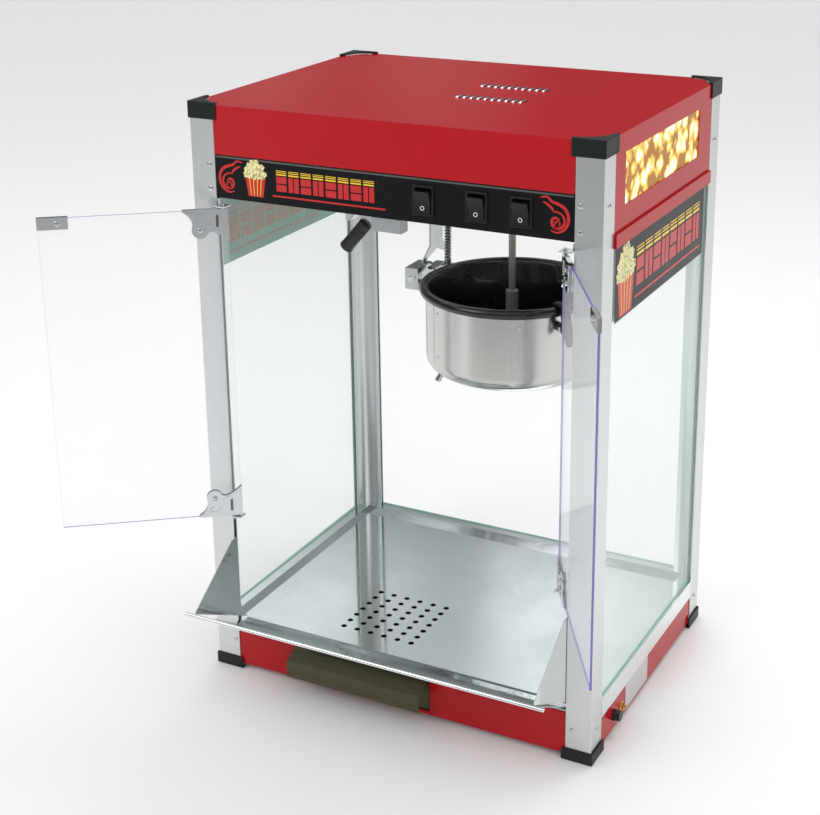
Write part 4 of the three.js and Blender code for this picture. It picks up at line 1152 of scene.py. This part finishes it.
def lampHolder(look):
    top, tip = Vector(look["top"]), Vector(look["tip"])
    along = (tip - top).normalized()
    long, radius = (tip - top).length, look["radius"]
    facing = along.to_track_quat("Z", "Y").to_matrix().to_4x4()
    profile = [(0.01, 0), (radius - 2, 0), (radius - 0.6, 0.7), (radius, 2)]
    for start in look["ribs"]:
        profile += [(radius, start), (radius - 0.7, start + 0.5), (radius - 0.7, start + 1.6),
                    (radius, start + 2.1)]
    profile += [(radius, long - 4), (radius + 0.5, long - 3.4), (radius + 0.5, long - 0.5), (radius, long),
                (radius - 1.2, long), (radius - 1.2, long - 9), (0.01, long - 9)]
    return turned(profile, 40, Matrix.Translation(top) @ facing)


settle(assembled("lamp_holder_look", [lampHolder(lampLook)]), "cabinet", "black_grip", gripBlack,
       stands=["lamp_holder"])
dress("lamp_bracket", lampLook["bracketBevel"], "cabinet", "polished_steel", hangerSteel)
dress("cord_gland", lampLook["glandBevel"], "cabinet", "black_grip", gripBlack)

# Small fittings on the base's right side: an earth stud and a blank plate.
sideLook = {"face": 278.8, "stud": (-100, 24), "plate": (-86, 10, -2, 48.6), "plateThick": 0.6,
            "plateBevel": 0.25, "rivetInset": 4, "rivetSize": 0.8}
studSeat = seatAt((sideLook["face"], *sideLook["stud"]), 90, "Y")
studParts = [turned([(0.01, 1.0), (6.2, 1.0), (6.5, 0.7), (6.5, -0.2)], 36, studSeat),
             turned([(4.7, 1.0), (4.7, 4.4), (4.1, 4.9), (2.2, 4.9)], 6, studSeat),
             turned([(2.2, 4.0), (2.2, 7.4), (1.7, 8.0), (0.01, 8.0)], 24, studSeat)]
settle(assembled("earth_stud", studParts), "cabinet", "brushed_steel", brass)
plateY0, plateZ0, plateY1, plateZ1 = sideLook["plate"]
plateSolid = boxOf((sideLook["face"] + 0.02, plateY0, plateZ0),
                   (sideLook["face"] + sideLook["plateThick"], plateY1, plateZ1))
settle(assembled("rating_plate", [plateSolid], bevel=sideLook["plateBevel"]), "cabinet", "brushed_steel",
       labelSilver)
inset = sideLook["rivetInset"]
plateRivets = [(place(sideLook["face"] + sideLook["plateThick"], y, z), rightward, 0.0)
               for y in (plateY0 + inset, plateY1 - inset) for z in (plateZ0 + inset, plateZ1 - inset)]
scattered("plate_rivets", plateRivets, rivetSource, chrome, "cabinet", "brushed_steel", sideLook["rivetSize"])
print("small fittings made")

for source in (screwSource, louvreSource, rivetSource, boltSource, ringSource):
    bpy.data.objects.remove(source)

# The floor is pale to the eye. Reflections see painted light instead: darker towards the front, with a
# painted bright wedge and a painted dark wedge that put a painted highlight and a painted dark band on the
# metal.
floorLook = {"half": 9, "drop": 0.0004, "colour": (0.9, 0.9, 0.9), "rough": 0.6, "wear": 0.04,
             "fall": (-0.35, -1.5), "bright": (-0.66, 0.2), "dark": (0.88, 0.26), "level": 0.42, "gain": 0.55,
             "loss": 0.75}


def makeFloor(look):
    material, tree, shader = startMaterial("paleFloor", look["colour"], 0, look["rough"])
    wear = useGroup(tree, wearGroup, Amount=look["wear"], Base=look["rough"])
    tree.links.new(wear.outputs["Roughness"], shader.inputs["Roughness"])
    split = node(tree, "ShaderNodeSeparateXYZ")
    tree.links.new(objectPlace(tree), split.inputs[0])
    fall = mapRange(tree, split.outputs["Y"], *look["fall"], 0.0, 1.0)
    ahead = mathNode(tree, "MULTIPLY", split.outputs["Y"], -1.0)
    angle = mathNode(tree, "ARCTAN2", split.outputs["X"], ahead)
    spans = []
    for middle, half in (look["bright"], look["dark"]):
        away = mathNode(tree, "ABSOLUTE", mathNode(tree, "SUBTRACT", angle, middle))
        spans.append(mapRange(tree, away, 0.0, half, 1.0, 0.0))
    level = mathNode(tree, "MULTIPLY_ADD", spans[0], look["gain"], look["level"])
    darker = mathNode(tree, "MULTIPLY_ADD", spans[1], -look["loss"], 1.0)
    # Glossy rays only: painted reflection, darker at the front, lifted by the bright wedge and lowered by the
    # dark wedge.
    glossy = node(tree, "ShaderNodeLightPath").outputs["Is Glossy Ray"]
    mix = mixColours(tree, mathNode(tree, "MULTIPLY", fall, glossy), look["colour"], look["colour"])
    tree.links.new(mathNode(tree, "MULTIPLY", level, darker), mix.inputs[7])
    tree.links.new(mix.outputs[2], shader.inputs["Base Color"])
    return material


half, drop = floorLook["half"], floorLook["drop"]
floor = link("floor", meshOf([(x, y, -drop) for x, y in rectangle(-half, -half, half, half)], [(0, 1, 2, 3)]))
floor.data.materials.append(makeFloor(floorLook))

# The surroundings are bright, with soft darker areas that only reflections show.
worldLook = {"plain": (0.985, 0.985, 0.985), "strength": 0.9, "tint": (0.94, 0.97, 1.0),
             "rise": (0.43, 0.475, 0.26, 1.0), "stretch": (2.6, 2.6, 0.35), "noise": (2.2, 1.5),
             "streaks": (0.42, 0.56, 0.3, 1.0)}


def makeWorld(look):
    world = bpy.data.worlds.new("studio")
    bpy.context.scene.world = world
    world.use_nodes = True
    tree = world.node_tree
    plain = tree.nodes["Background"]
    plain.inputs["Color"].default_value = (*look["plain"], 1)
    plain.inputs["Strength"].default_value = look["strength"]
    uneven = node(tree, "ShaderNodeBackground")
    direction = node(tree, "ShaderNodeTexCoord").outputs["Generated"]
    split = node(tree, "ShaderNodeSeparateXYZ")
    tree.links.new(direction, split.inputs[0])
    height = mapRange(tree, split.outputs["Z"], *look["rise"])
    mapping = node(tree, "ShaderNodeMapping")
    mapping.inputs["Scale"].default_value = look["stretch"]
    tree.links.new(direction, mapping.inputs["Vector"])
    noise = noiseNode(tree, *look["noise"], mapping.outputs[0])
    streaks = mapRange(tree, noise.outputs["Fac"], *look["streaks"])
    tree.links.new(mathNode(tree, "MULTIPLY", height, streaks), uneven.inputs["Strength"])
    uneven.inputs["Color"].default_value = (*look["tint"], 1)
    mix = node(tree, "ShaderNodeMixShader")
    tree.links.new(node(tree, "ShaderNodeLightPath").outputs["Is Glossy Ray"], mix.inputs[0])
    tree.links.new(plain.outputs[0], mix.inputs[1])
    tree.links.new(uneven.outputs[0], mix.inputs[2])
    tree.links.new(mix.outputs[0], tree.nodes["World Output"].inputs["Surface"])


makeWorld(worldLook)
bpy.context.scene.view_settings.view_transform = "Standard"


def softLight(name, location, target, size, power):
    data = bpy.data.lights.new(name, "AREA")
    data.shape = "RECTANGLE"
    data.size, data.size_y = size
    data.energy = power
    light = bpy.data.objects.new(name, data)
    bpy.context.scene.collection.objects.link(light)
    light.location = cabinetCentre + Vector(location)
    aim = cabinetCentre + Vector(target) - light.location
    light.rotation_euler = aim.to_track_quat("-Z", "Y").to_euler()


softLight("keyLight", (-1.6, -2.4, 2.6), (0, 0, 0.4), (1.6, 1.6), 22)
softLight("fillLight", (2.6, -1.2, 1.6), (0, 0, 0.4), (1.4, 1.8), 9)
softLight("topLight", (0.2, 1.2, 2.8), (0, 0, 0.7), (2.0, 1.0), 26)

cameraLook = {"azimuth": 28.07, "elevation": 17.73, "roll": -0.81, "location": (903.8, -1844.1, 1189.2),
              "focal": 1602.6, "shift": -120, "wide": 820, "sensor": 36, "near": 0.05}
azimuth, elevation, roll = (math.radians(cameraLook[k]) for k in ("azimuth", "elevation", "roll"))
back = Vector((math.sin(azimuth) * math.cos(elevation), -math.cos(azimuth) * math.cos(elevation),
               math.sin(elevation)))
right = Vector((math.cos(azimuth), math.sin(azimuth), 0))
upward = back.cross(right)
axisX = math.cos(roll) * right + math.sin(roll) * upward
axisY = -math.sin(roll) * right + math.cos(roll) * upward
turning = Matrix((axisX, axisY, back)).transposed().to_4x4()
cameraData = bpy.data.cameras.new("camera")
camera = bpy.data.objects.new("camera", cameraData)
bpy.context.scene.collection.objects.link(camera)
camera.matrix_world = Matrix.Translation(place(*cameraLook["location"])) @ turning
cameraData.sensor_width = cameraLook["sensor"]
cameraData.lens = cameraLook["focal"] / cameraLook["wide"] * cameraLook["sensor"]
cameraData.shift_y = cameraLook["shift"] / cameraLook["wide"]
cameraData.clip_start = cameraLook["near"]
bpy.context.scene.camera = camera
print("stage made")

bpy.context.view_layer.update()
